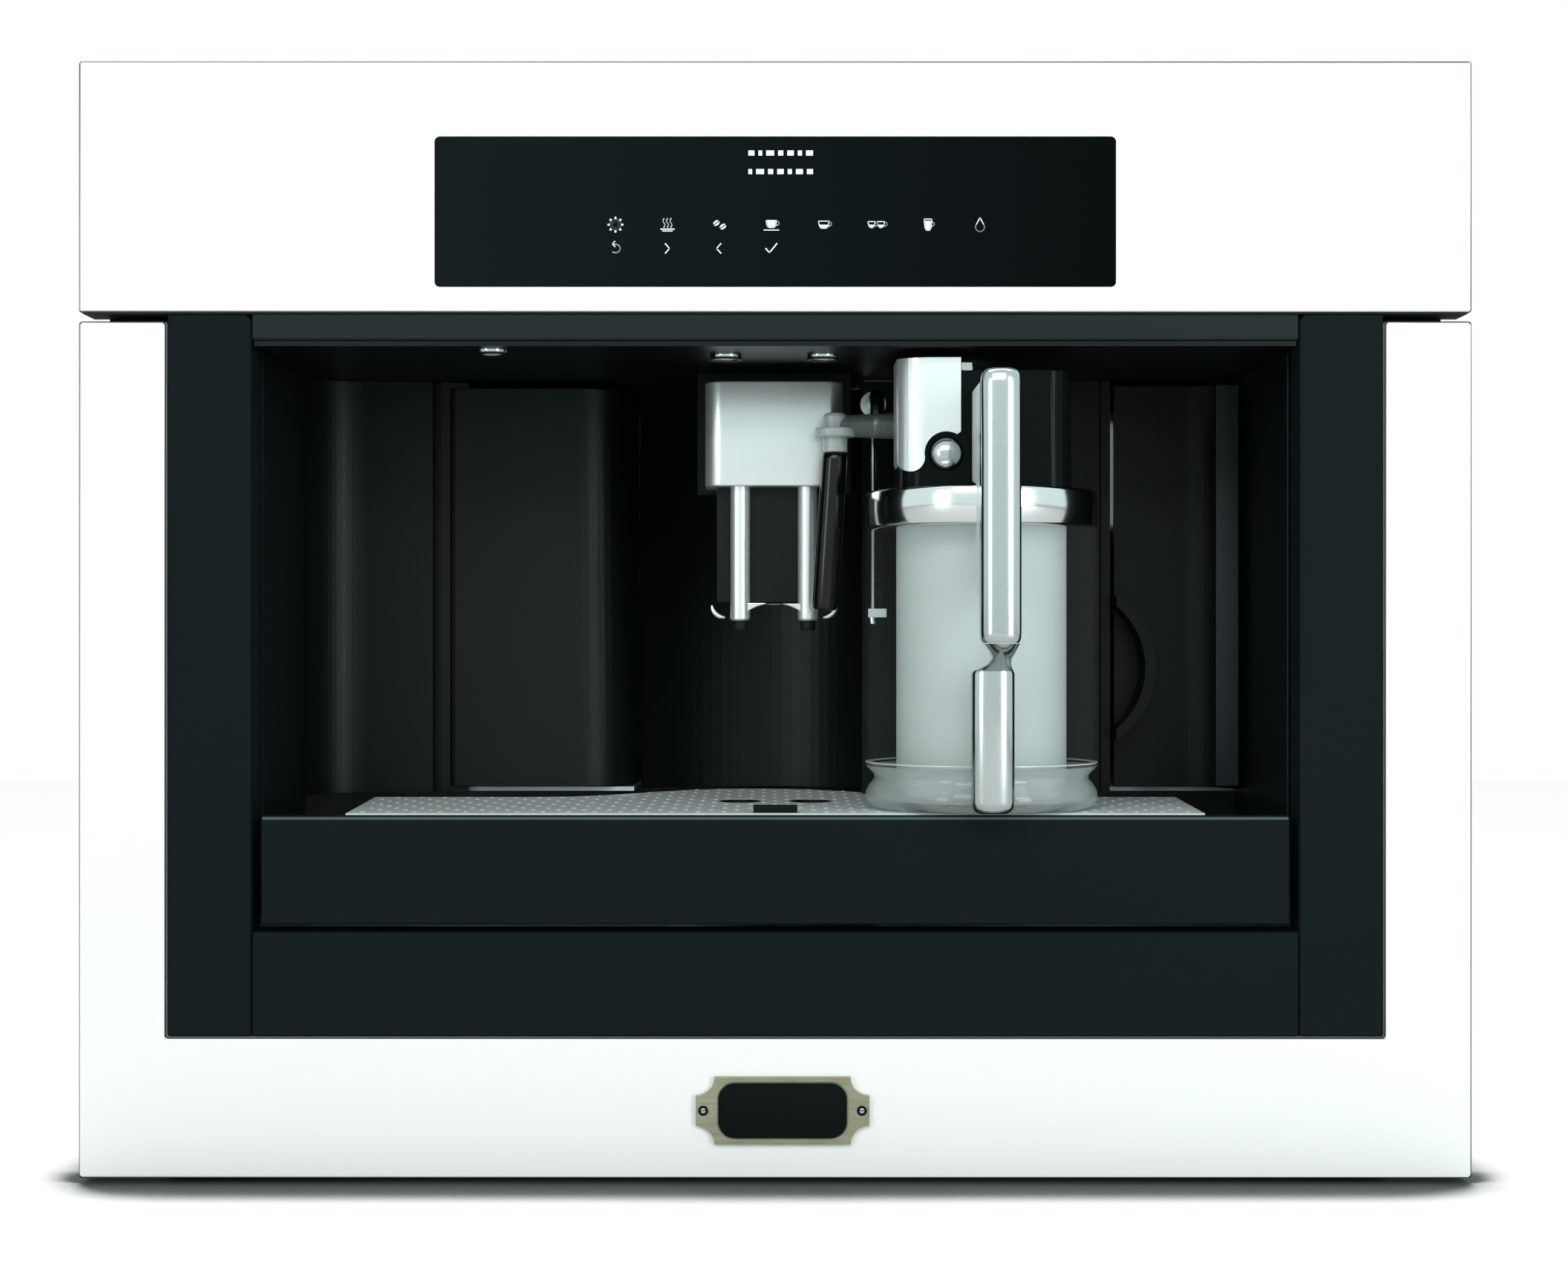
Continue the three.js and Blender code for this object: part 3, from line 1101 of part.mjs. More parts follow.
// ---------------------------------------------------------------- water tank
function waterTank() {
  const xs = [TANK_BODY_LEFT, TANK_BODY_RIGHT];
  const ys = [TANK_FRONT_BACK + SEAT, TANK_FRONT_BACK + SEAT + TANK_DEPTH];
  const body = cut(
    block(xs, ys, [TANK_BOTTOM, TANK_TOP]),
    block(
      [xs[0] + TANK_WALL, xs[1] - TANK_WALL],
      [ys[0] + TANK_WALL, ys[1] - TANK_WALL],
      [TANK_BOTTOM + TANK_WALL, TANK_TOP + 1],
    ),
  );
  const cornerX = TANK_RIGHT - CORNER_RADIUS;
  const cornerY = CAVITY_DEPTH - CORNER_RADIUS;
  const plan = new THREE.Shape();
  plan.moveTo(TANK_LEFT, CAVITY_DEPTH);
  plan.lineTo(cornerX, CAVITY_DEPTH);
  plan.absarc(cornerX, cornerY, CORNER_RADIUS, Math.PI / 2, 0, true);
  plan.lineTo(TANK_RIGHT, TANK_FRONT_BACK);
  plan.lineTo(TANK_LEFT, TANK_FRONT_BACK);
  const grip = new THREE.Shape();
  const bow = (reach, half) => (half * half + reach * reach) / (2 * reach);
  const arc = (reach, half, flip) => {
    const radius = bow(reach, half);
    const spread = Math.asin(half / radius);
    const centre = GRIP_X + reach - radius;
    grip.absarc(centre, GRIP_Z, radius, flip ? spread : -spread, flip ? -spread : spread, flip);
  };
  arc(GRIP_OUT, GRIP_HALF, false);
  arc(GRIP_OUT - GRIP_THICKNESS, GRIP_HALF - GRIP_THICKNESS, true);
  const handle = prismY(grip, CAVITY_DEPTH - GRIP_REACH, CAVITY_DEPTH + 1, 12);
  const face = join(prismZ(plan, TANK_BOTTOM, TANK_FRONT_TOP, 8), handle);
  return [
    part('water_tank', body, smokedPlastic),
    part('water_tank_front', face, blackPlastic),
  ];
}

// ---------------------------------------------------------------- milk jug
function jugBody() {
  const r = JUG_RADIUS;
  const inner = r - JUG_WALL;
  const shell = turned([
    [0, 0], [r - 5, 0], [r - 1.5, 2], [r, 5], [r - 0.5, 9], [r - JUG_WAIST, 13], [r - JUG_WAIST, 15],
    [r, JUG_BASE_HEIGHT], [r, COLLAR_BOTTOM - SEAT], [inner, COLLAR_BOTTOM - SEAT],
    [inner, JUG_BASE_HEIGHT + 1], [inner - JUG_WAIST, 15], [inner - JUG_WAIST, 13],
    [inner - 1, 8], [inner - 3, JUG_FOOT], [0, JUG_FOOT],
  ], 40);
  const v = VESSEL_RADIUS;
  const floor = JUG_FOOT + SEAT;
  const vessel = turned([
    [0, floor], [v - 3, floor], [v, floor + VESSEL_TAPER], [v, COLLAR_TOP],
    [v - VESSEL_WALL, COLLAR_TOP], [v - VESSEL_WALL, floor + VESSEL_TAPER + VESSEL_FLOOR],
    [v - VESSEL_WALL - 3, floor + VESSEL_FLOOR], [0, floor + VESSEL_FLOOR],
  ], 40);
  const collar = turned([
    [COLLAR_FIT, COLLAR_BOTTOM], [r, COLLAR_BOTTOM], [r, COLLAR_TOP - 1], [r - 1, COLLAR_TOP],
    [COLLAR_FIT, COLLAR_TOP], [COLLAR_FIT, COLLAR_BOTTOM],
  ], 40);
  return [
    part('jug_shell', shell, clearPlastic),
    part('jug_vessel', vessel, frostedPlastic),
    part('jug_collar', collar, chrome),
  ];
}

const lidPlan = (grow) => roundedRect(
  around(0, VESSEL_RADIUS + grow),
  [-LID_FRONT - grow, LID_BACK + grow],
  LID_CORNER + grow,
);

function jugLid() {
  const socketBottom = STEAM_Z - JUG_Z;
  const shell = cut(
    prismZ(lidPlan(0), LID_BOTTOM, LID_TOP, 5),
    prismZ(lidPlan(-LID_WALL), LID_BOTTOM - 1, LID_TOP - LID_WALL, 5),
  );
  const socket = rodY(SOCKET_RADIUS, LID_BACK - 6, LID_BACK + SOCKET_REACH, 0, socketBottom, 20);
  const bore = rodY(STEAM_RADIUS + SLIDE_FIT, LID_BACK - 8, LID_BACK + SOCKET_REACH + 1, 0, socketBottom, 20);
  const wellYs = [-LID_FRONT - 1, -LID_FRONT + LID_WALL + 1];
  const buttonWell = rodY(BUTTON_RADIUS + TURN_FIT, ...wellYs, BUTTON_X, BUTTON_Z, 20);
  const sliderSlot = block(
    around(SLIDER_X, SLIDER_WIDTH / 2 - 1 + SLIDE_FIT),
    [-LID_FRONT + 4, -LID_FRONT + 6 + SLIDER_LENGTH + SLIDER_TRAVEL],
    [LID_TOP - LID_WALL - 1, LID_TOP + 1],
  );
  const intakeBottom = JUG_FOOT + SEAT + 2 * VESSEL_FLOOR;
  const intake = rodZ(INTAKE_RADIUS, intakeBottom, LID_TOP - 1, INTAKE_X, 0, 12);
  const lid = join(cut(join(shell, socket), bore, buttonWell, sliderSlot), intake);

  const outline = new THREE.Shape();
  const tipRadius = (BUTTON_X - BUTTON_RADIUS - 2 - LID_COVER_LEFT) / 2;
  const scoop = BUTTON_RADIUS + 2.2;
  outline.moveTo(LID_COVER_LEFT, LID_COVER_TOP);
  outline.lineTo(LID_COVER_LEFT, LID_COVER_BOTTOM + tipRadius);
  outline.absarc(LID_COVER_LEFT + tipRadius, LID_COVER_BOTTOM + tipRadius, tipRadius, Math.PI, Math.PI * 2);
  outline.absarc(BUTTON_X, BUTTON_Z, scoop, Math.PI, Math.PI / 3, true);
  outline.lineTo(LID_COVER_RIGHT, BUTTON_Z + scoop);
  outline.lineTo(LID_COVER_RIGHT, LID_COVER_TOP);
  const band = cut(
    prismZ(lidPlan(LID_COVER_SHEET + SEAT), LID_COVER_BOTTOM - 1, LID_COVER_TOP + 1, 5),
    prismZ(lidPlan(SEAT), LID_COVER_BOTTOM - 2, LID_COVER_TOP + 2, 5),
  );
  const cover = common(band, prismY(outline, -2 * LID_FRONT, 0, 8));

  const dome = turned([
    [0, 0], [BUTTON_RADIUS, 0], [BUTTON_RADIUS, 3], [BUTTON_RADIUS * 0.8, 3 + BUTTON_PROUD * 0.6],
    [BUTTON_RADIUS * 0.4, 3 + BUTTON_PROUD * 0.92], [0, 3 + BUTTON_PROUD],
  ], 20).rotateX(Math.PI / 2).translate(BUTTON_X, -LID_FRONT + 3, BUTTON_Z);

  const sliderFront = -LID_FRONT + 5;
  const slider = join(
    block(
      around(SLIDER_X, SLIDER_WIDTH / 2),
      [sliderFront, sliderFront + SLIDER_LENGTH],
      [LID_TOP + SEAT, LID_TOP + SEAT + SLIDER_HEIGHT],
    ),
    block(
      around(SLIDER_X, SLIDER_WIDTH / 2 - 1),
      [sliderFront, sliderFront + SLIDER_LENGTH],
      [LID_TOP - LID_WALL, LID_TOP + 1],
    ),
  );
  return [
    part('jug_lid', lid, blackPlastic),
    part('lid_cover', cover, chrome),
    part('clean_button', dome, chrome),
    part('froth_slider', slider, chrome),
  ];
}

function jugHandle() {
  const half = HANDLE_WIDTH / 2;
  const barFront = -HANDLE_REACH;
  const barBack = barFront + HANDLE_BAR;
  const plan = new THREE.Shape();
  plan.moveTo(half, barBack);
  plan.lineTo(-half, barBack);
  plan.lineTo(-half, barFront + 5);
  plan.quadraticCurveTo(-half, barFront, 0, barFront);
  plan.quadraticCurveTo(half, barFront, half, barFront + 5);
  const bar = prismZ(plan, HANDLE_BOTTOM, HANDLE_TOP, 6).translate(HANDLE_X, 0, 0);

  const bodyHalf = HANDLE_BODY_WIDTH / 2;
  const bodyFront = barBack + SEAT;
  const shellFront = -JUG_RADIUS - SEAT;
  const lidFront = -LID_FRONT - SEAT;
  const side = polygon([
    [bodyFront, HANDLE_BOTTOM + 2], [shellFront, HANDLE_BOTTOM + HANDLE_SLANT], [shellFront, LID_BOTTOM],
    [lidFront, LID_BOTTOM + 2], [lidFront, HANDLE_TOP - 4], [bodyFront, HANDLE_TOP - 4],
  ]);
  const body = prismX(side, -bodyHalf + HANDLE_X, bodyHalf + HANDLE_X);

  const lowHalf = LOWER_WIDTH / 2;
  const lowFront = -LOWER_REACH;
  const lowBack = lowFront + LOWER_BAR;
  const neck = polygon([
    [lowFront, LOWER_BOTTOM + 5], [lowFront + 5, LOWER_BOTTOM], [lowBack, LOWER_BOTTOM],
    [lowBack, LOWER_TOP - 8], [shellFront, LOWER_TOP - 6], [shellFront, LOWER_TOP + 4],
    [bodyFront - 2, HANDLE_BOTTOM - SEAT], [barFront + 1, HANDLE_BOTTOM - SEAT], [lowFront, LOWER_TOP],
  ]);
  const lower = prismX(neck, -lowHalf, lowHalf);
  return [
    part('handle_upper', bar, chrome),
    part('handle_body', body, palePlastic),
    part('handle_lower', lower, chrome),
  ];
}

function milkSpout() {
  const reach = -VESSEL_RADIUS - SEAT - MILK_TUBE_X;
  const arm = new THREE.CylinderGeometry(6, 4.6, reach + 2, 16)
    .rotateZ(-Math.PI / 2)
    .translate(MILK_TUBE_X + reach / 2 - 1, 0, MILK_PIVOT_Z);
  const cap = rodZ(MILK_CAP_RADIUS, MILK_PIVOT_Z - 3, MILK_CAP_TOP, MILK_TUBE_X, 0, 16);
  const collar = rodZ(MILK_COLLAR_RADIUS, MILK_PIVOT_Z - 5, MILK_PIVOT_Z - 1, MILK_TUBE_X, 0, 20);
  const neck = rodZ(MILK_TUBE_RADIUS, MILK_TUBE_TOP + SEAT, MILK_PIVOT_Z - 3, MILK_TUBE_X, 0, 16);
  const tube = cut(
    rodZ(MILK_TUBE_RADIUS, -MILK_TUBE_LENGTH, 0, 0, 0, 16),
    rodZ(MILK_TUBE_BORE, -MILK_TUBE_LENGTH - 1, -3, 0, 0, 12),
  );
  const at = new THREE.Group();
  at.position.set(0, MILK_DEPTH_OFFSET, 0);
  const tubeMesh = part('milk_spout_tube', tube, smokedPlastic);
  tubeMesh.position.set(MILK_TUBE_X, 0, MILK_TUBE_TOP - 0.4);
  tubeMesh.rotation.y = MILK_TUBE_TILT;
  at.add(part('milk_spout_arm', join(arm, cap, collar, neck), frostedPlastic), tubeMesh);
  return at;
}

function milkJug() {
  const jug = new THREE.Group();
  jug.position.set(JUG_X, JUG_DEPTH, JUG_Z);
  jug.add(...jugBody(), ...jugLid(), ...jugHandle(), milkSpout());
  return jug;
}

// ---------------------------------------------------------------- inner works
function brewUnit() {
  const at = new THREE.Group();
  at.position.set(BREW_X, BREW_DEPTH, BREW_FLOOR);
  const [w, l] = [BREW_WIDTH / 2, BREW_LENGTH / 2];
  const foot = block([-w, w], [-l, l], [0, BREW_WALL]);
  const head = block([-w, w], [-l, l], [BREW_HEIGHT - BREW_WALL, BREW_HEIGHT]);
  const back = block([-w, w], [l - BREW_WALL, l], [0, BREW_HEIGHT]);
  const spindleY = l - SPINDLE_INSET;
  const headZs = [BREW_HEIGHT - BREW_WALL - 1, BREW_HEIGHT + 1];
  const headHole = rodZ(SPINDLE_RADIUS + TURN_FIT, ...headZs, 0, spindleY, 12);
  const frame = cut(join(foot, head, back), headHole);
  const wheelTop = BREW_HEIGHT + SEAT + DRIVE_WHEEL_HEIGHT;
  const spindle = join(
    rodZ(SPINDLE_RADIUS, BREW_WALL + SEAT, BREW_HEIGHT + SPINDLE_PROUD, 0, spindleY, 12),
    rodZ(DRIVE_WHEEL_RADIUS, BREW_HEIGHT + SEAT, wheelTop, 0, spindleY, 24),
  );
  const nutYs = [spindleY - NUT_HALF, l - BREW_WALL - SLIDE_FIT];
  const nut = block(around(0, NUT_HALF), nutYs, [PISTON_REST, PISTON_REST + NUT_HEIGHT]);
  const pistonY = -l + PISTON_RADIUS + PISTON_INSET;
  const arm = block(around(0, NUT_HALF), [pistonY, nutYs[0] + WELD], [PISTON_REST, PISTON_REST + ARM_HEIGHT]);
  const cup = rodZ(PISTON_RADIUS, PISTON_REST, PISTON_REST + PISTON_HEIGHT, 0, pistonY, 24);
  const nutHalf = SPINDLE_RADIUS + TURN_FIT;
  const nutHole = block(around(0, nutHalf), around(spindleY, nutHalf), [0, BREW_HEIGHT]);
  const piston = cut(join(nut, arm, cup), nutHole);
  at.add(
    part('brew_frame', frame, blackPlastic),
    part('brew_spindle', spindle, brushedSteel),
    part('brew_piston', piston, palePlastic),
  );
  return at;
}

function groundsContainer() {
  const xs = [DOOR_LEFT + 4, DOOR_LEFT + 4 + BIN_WIDTH];
  const ys = [CAVITY_DEPTH + POST_DEPTH + 4, CAVITY_DEPTH + POST_DEPTH + 4 + BIN_LENGTH];
  const zs = [DECK_TOP + SEAT, DECK_TOP + SEAT + BIN_HEIGHT];
  return part('grounds_container', cut(
    block(xs, ys, zs),
    block(
      [xs[0] + BIN_WALL, xs[1] - BIN_WALL],
      [ys[0] + BIN_WALL, ys[1] - BIN_WALL],
      [zs[0] + BIN_WALL, zs[1] + 1],
    ),
  ), blackPlastic);
}

function hydraulics() {
  const boilerBottom = DECK_TOP + SEAT;
  const boiler = turned([
    [0, boilerBottom], [BOILER_RADIUS, boilerBottom], [BOILER_RADIUS, boilerBottom + BOILER_HEIGHT - 12],
    [BOILER_RADIUS * 0.6, boilerBottom + BOILER_HEIGHT], [0, boilerBottom + BOILER_HEIGHT],
  ], 24).translate(0, BREW_DEPTH + 40, 0);
  const pumpZ = FLOOR_TOP + SEAT + PUMP_RADIUS;
  const pump = join(
    rodX(PUMP_RADIUS, -PUMP_LENGTH / 2, PUMP_LENGTH / 2, BREW_DEPTH, pumpZ, 20),
    block(around(0, PUMP_LENGTH / 3), around(BREW_DEPTH, PUMP_RADIUS), [FLOOR_TOP + SEAT, pumpZ]),
  );
  return [part('coffee_boiler', boiler, brushedSteel), part('water_pump', pump, copper)];
}

function grinder() {
  const at = new THREE.Group();
  at.position.set(GRINDER_X, GRINDER_DEPTH, 0);
  const bottom = DECK_TOP + SEAT;
  const burrFloor = GRINDER_TOP - BURR_HEIGHT - 6;
  const housing = cut(
    join(
      rodZ(GRINDER_RADIUS, burrFloor - GRINDER_BODY, GRINDER_TOP, 0, 0, 28),
      rodZ(GRINDER_RADIUS * 0.75, bottom, burrFloor - GRINDER_BODY + 10, 0, 0, 24),
    ),
    rodZ(BURR_BORE, burrFloor, GRINDER_TOP + 1, 0, 0, 28),
    rodZ(BURR_SHAFT + TURN_FIT, burrFloor - 30, burrFloor + 1, 0, 0, 12),
  );
  const cone = turned([
    [0, burrFloor - 29], [BURR_SHAFT, burrFloor - 29], [BURR_SHAFT, burrFloor + SEAT],
    [BURR_RADIUS, burrFloor + SEAT], [BURR_RADIUS, burrFloor + 8], [8, burrFloor + BURR_HEIGHT],
    [0, burrFloor + BURR_HEIGHT + 3],
  ], 24);
  const hopperBottom = GRINDER_TOP + SEAT;
  const [w, l] = [HOPPER_WIDTH / 2, HOPPER_LENGTH / 2];
  const knobX = -w + HOPPER_WALL + KNOB_RADIUS + 6;
  const knobY = -l + HOPPER_WALL + KNOB_RADIUS + 6;
  const shelfTop = CASING_TOP - KNOB_HEIGHT - 6;
  const [innerW, innerL] = [w - HOPPER_WALL, l - HOPPER_WALL];
  const shelfEdge = KNOB_RADIUS + 6;
  const hopper = cut(
    join(
      cut(
        block([-w, w], [-l, l], [hopperBottom, CASING_TOP]),
        block([-innerW, innerW], [-innerL, innerL], [hopperBottom + 4, CASING_TOP + 1]),
      ),
      block([-w + 1, knobX + shelfEdge], [-l + 1, knobY + shelfEdge], [hopperBottom + 3, shelfTop]),
    ),
    rodZ(HOPPER_THROAT, hopperBottom - 1, hopperBottom + 5, 0, 0, 20),
    rodZ(3 + TURN_FIT, shelfTop - 12, shelfTop + 1, knobX, knobY, 12),
  );
  const knob = join(
    rodZ(KNOB_RADIUS, shelfTop + SEAT, shelfTop + KNOB_HEIGHT - 4, knobX, knobY, 20),
    block(around(knobX, 2), around(knobY, KNOB_RADIUS - 1), [shelfTop + 4, shelfTop + KNOB_HEIGHT]),
    rodZ(3, shelfTop - 11, shelfTop + 1, knobX, knobY, 12),
  );
  const lidX = w + BEAN_LID_LAP;
  const lidY = l + BEAN_LID_LAP;
  const lid = prismZ(
    roundedRect([-lidX, lidX], [-lidY, lidY], 6),
    CASING_TOP + SEAT,
    CASING_TOP + SEAT + BEAN_LID_SHEET,
    3,
  );
  at.add(
    part('grinder_housing', housing, blackPlastic),
    part('grinder_cone', cone, brushedSteel),
    part('bean_hopper', hopper, smokedPlastic),
    part('grind_knob', knob, palePlastic),
    part('bean_lid', lid, smokedPlastic),
  );
  return at;
}

// ---------------------------------------------------------------- the machine
const machine = new THREE.Group();
machine.name = 'built_in_coffee_machine';
machine.position.set(0, (HANDLE_FRONT - MACHINE_DEPTH) / 2, 0);
machine.add(
  runnerFrame(),
  ...middleRails(),
  frontCarrier(),
  ...casing(),
  mainSwitch(),
  ...controlFascia(),
  lowerFrame(),
  namePlate(),
  ...darkFront(),
  cavityCeiling(),
  tankGuide(),
  cornerPanel(),
  serviceDoor(),
  centreBay(),
  coffeeSpout(),
  waterSpout(),
  steamNozzle(),
  ...dripTray(),
  ...waterTank(),
  milkJug(),
  brewUnit(),
  groundsContainer(),
  ...hydraulics(),
  grinder(),
);

export default machine;
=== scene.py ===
# %% [markdown]
# # Dressing a built-in coffee machine
# The plain solids of the machine come packed as a frame: every solid has its real size and
# place, and rides on a moving body. This lesson dresses them. Flat sheet-metal fronts keep
# their solid and only get a finish. Rounded, polished or see-through pieces are modelled
# again with more care, and stand in for their solid.
# %% Load the frame
import json
import math

import bmesh
import bpy
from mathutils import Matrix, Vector
from mathutils.bvhtree import BVHTree


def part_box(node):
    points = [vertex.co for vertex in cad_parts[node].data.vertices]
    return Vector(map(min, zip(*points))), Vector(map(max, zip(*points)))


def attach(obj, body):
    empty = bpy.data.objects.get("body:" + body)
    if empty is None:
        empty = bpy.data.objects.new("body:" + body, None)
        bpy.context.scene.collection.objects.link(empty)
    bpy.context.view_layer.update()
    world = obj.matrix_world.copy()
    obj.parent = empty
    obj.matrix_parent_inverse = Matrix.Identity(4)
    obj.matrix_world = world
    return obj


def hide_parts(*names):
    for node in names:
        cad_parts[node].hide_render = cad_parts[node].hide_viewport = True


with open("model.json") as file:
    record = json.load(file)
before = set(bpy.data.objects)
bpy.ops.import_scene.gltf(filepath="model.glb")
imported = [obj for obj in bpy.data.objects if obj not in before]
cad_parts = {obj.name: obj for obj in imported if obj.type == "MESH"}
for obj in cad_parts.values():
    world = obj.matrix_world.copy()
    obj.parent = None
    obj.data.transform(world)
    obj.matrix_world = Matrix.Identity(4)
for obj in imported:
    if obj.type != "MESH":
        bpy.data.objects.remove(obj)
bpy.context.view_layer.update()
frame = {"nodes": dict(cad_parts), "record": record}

MM = 0.001

# %% [markdown]
# ## Where every piece rides
# The record lists the moving bodies and the solids on each. Turning that list round gives the
# body of any solid by name, so a new piece can ride where the solid that it stands for rides.
# %% Bodies and boxes
bodies = frame["record"]["behaviour"]["bodies"]
body_of = {node: body for body, nodes in bodies.items() for node in nodes}


class Box:
    """The box of a solid at rest, in millimetres: edges x0 to z1 and middles x, y, z."""

    def __init__(self, node):
        low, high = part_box(node)
        self.x0, self.y0, self.z0 = (value / MM for value in low)
        self.x1, self.y1, self.z1 = (value / MM for value in high)
        self.x = (self.x0 + self.x1) / 2
        self.y = (self.y0 + self.y1) / 2
        self.z = (self.z0 + self.z1) / 2


# %% [markdown]
# ## Camera
# The photograph looks straight at the front, level with the middle of the cup space, from
# about a metre. All upright edges stay upright, so the camera isn't tilted: a small shift of
# the film brings the front to its place in the picture instead.
# %% Camera
fascia = Box("control_fascia")
VIEW_DISTANCE = 1050
VIEW_HEIGHT = 229.2
FILM_WIDTH = 36
LENS_LENGTH = 56.48
FILM_SHIFT = (0.00556, 0.0071)
camera_data = bpy.data.cameras.new("photo_camera")
camera_data.sensor_width = FILM_WIDTH
camera_data.lens = LENS_LENGTH
camera_data.shift_x, camera_data.shift_y = FILM_SHIFT
camera = bpy.data.objects.new("photo_camera", camera_data)
camera.location = (0, (fascia.y0 - VIEW_DISTANCE) * MM, VIEW_HEIGHT * MM)
camera.rotation_euler = (math.radians(90), 0, 0)
bpy.context.collection.objects.link(camera)
bpy.context.scene.camera = camera
bpy.context.scene.view_settings.view_transform = "Standard"
print("camera at", [round(v, 3) for v in camera.location])

# %% [markdown]
# ## Helpers for shader nodes
# The room, the floor and every finish are small trees of shader nodes. Each node could be made
# and filled in line by line. Three short functions do the same in one line each, so that a tree
# reads as a list of its nodes and then a list of its links.
# %% Shader-node helpers
def node(tree, kind, **values):
    """A new shader node, some inputs set by name or, as n0, n1 and so on, by number."""
    made = tree.nodes.new(kind)
    for key, value in values.items():
        by_number = key[0] == "n" and key[1:].isdigit()
        made.inputs[int(key[1:]) if by_number else key].default_value = value
    return made


def maths(tree, operation, **values):
    """A Math node for one operation."""
    made = node(tree, "ShaderNodeMath", **values)
    made.operation = operation
    return made


def blend_of(tree, first, second, share=None, blend_type="MIX"):
    """A Mix node for two colours. None leaves an input free for a link."""
    made = tree.nodes.new("ShaderNodeMix")
    made.data_type = "RGBA"
    made.blend_type = blend_type
    for number, value in ((0, share), (6, first), (7, second)):
        if value is not None:
            made.inputs[number].default_value = value
    return made


print("shader helpers ready")

# %% [markdown]
# ## Studio
# White paint on a white ground only reads by its edges, so the room stays a little dimmer
# than the soft lamp in front: the flat faces come out near white, and the rounded edges,
# which face the sides, draw a thin grey line. Two tall softboxes at the sides make the
# upright highlights in the curved walls of the cup space. The chrome gets its dark edges
# from the cup space itself, which it reflects where it turns away from the room.
#
# The room has three colours. A camera ray sees pure white, as behind the photograph. A ray off
# metal or glass sees a slightly cool white, which tints the chrome, and all other light comes
# from a dim, nearly neutral room.
# %% World
AMBIENT = 0.25
WHITE = (1, 1, 1, 1)
ROOM_TINT = (0.97, 1.0, 0.99, 1)
REFLECTED_TINT = (0.84, 1.0, 0.985, 1)
world = bpy.data.worlds.new("studio_world")
bpy.context.scene.world = world
world.use_nodes = True
room = world.node_tree
room.nodes.clear()
soft_light = node(room, "ShaderNodeBackground", Color=ROOM_TINT, Strength=AMBIENT)
white_ground = node(room, "ShaderNodeBackground", Color=WHITE, Strength=1)
ray = node(room, "ShaderNodeLightPath")
reflected = maths(room, "MAXIMUM")
room.links.new(ray.outputs["Is Glossy Ray"], reflected.inputs[0])
room.links.new(ray.outputs["Is Transmission Ray"], reflected.inputs[1])
cool_ground = node(room, "ShaderNodeBackground", Color=REFLECTED_TINT, Strength=1)
choice = node(room, "ShaderNodeMixShader")
camera_choice = node(room, "ShaderNodeMixShader")
room.links.new(reflected.outputs[0], choice.inputs[0])
room.links.new(soft_light.outputs[0], choice.inputs[1])
room.links.new(cool_ground.outputs[0], choice.inputs[2])
room.links.new(ray.outputs["Is Camera Ray"], camera_choice.inputs[0])
room.links.new(choice.outputs[0], camera_choice.inputs[1])
room.links.new(white_ground.outputs[0], camera_choice.inputs[2])
end = node(room, "ShaderNodeOutputWorld")
room.links.new(camera_choice.outputs[0], end.inputs["Surface"])
print("room light", AMBIENT)

# %% Lamps
def softbox(name, place, target, size, watts, tint=(1, 1, 1)):
    """A rectangular lamp at a place in metres, turned towards a target."""
    light = bpy.data.lights.new(name, "AREA")
    light.color = tint
    light.shape = "RECTANGLE"
    light.size, light.size_y = size
    light.energy = watts
    lamp = bpy.data.objects.new(name, light)
    lamp.location = place
    aim = Vector(target) - Vector(place)
    lamp.rotation_euler = aim.to_track_quat("-Z", "Y").to_euler()
    bpy.context.collection.objects.link(lamp)


CUP_SPACE = (0, -0.1, 0.24)
COOL = (0.90, 1.0, 0.99)
softbox("front_softbox", (-0.25, -2.5, 1.75), CUP_SPACE, (2.2, 1.0), watts=31)
softbox("left_softbox", (-1.55, -1.9, 0.45), CUP_SPACE, (0.5, 1.5), watts=12, tint=COOL)
softbox("right_softbox", (1.25, -1.65, 0.40), CUP_SPACE, (0.45, 1.4), watts=17, tint=COOL)
softbox("top_softbox", (0, 0.1, 2.3), (0, -0.1, 0), (2.4, 1.4), watts=14)
print(len(bpy.data.lights), "lamps")

# %% [markdown]
# ## Floor
# The floor is white paper that melts into the background, so for the camera part of it
# glows. An Ambient Occlusion node finds where something stands close over it: there the
# glow and the paper both fade, and the soft contact shadow under the front stays.
# %% Floor
FLOOR_SIZE = 6
FLOOR_GLOW = 0.6
GLOW_STRENGTH = 1.35
SHADOW_REACH = 0.065
SHADOW_DARK, SHADOW_NONE = 0.70, 0.90
SHADOW_TINT = (0.03, 0.04, 0.04, 1)
PAPER_TINT = (0.9, 0.905, 0.905, 1)
floor_paint = bpy.data.materials.new("floor_paint")
floor_paint.use_nodes = True
paper = floor_paint.node_tree
paper_shader = paper.nodes["Principled BSDF"]
paper_shader.inputs["Roughness"].default_value = 0.6
glow = node(paper, "ShaderNodeEmission", Strength=GLOW_STRENGTH)
contact = node(paper, "ShaderNodeAmbientOcclusion", Distance=SHADOW_REACH)
contact.samples = 24
openness = node(paper, "ShaderNodeMapRange", n1=SHADOW_DARK, n2=SHADOW_NONE)
openness.interpolation_type = "SMOOTHSTEP"
shade = blend_of(paper, SHADOW_TINT, PAPER_TINT)
floor_ray = node(paper, "ShaderNodeLightPath")
floor_share = maths(paper, "MULTIPLY", n1=FLOOR_GLOW)
open_share = maths(paper, "MULTIPLY")
floor_mix = node(paper, "ShaderNodeMixShader")
paper.links.new(contact.outputs["AO"], openness.inputs[0])
paper.links.new(openness.outputs[0], shade.inputs[0])
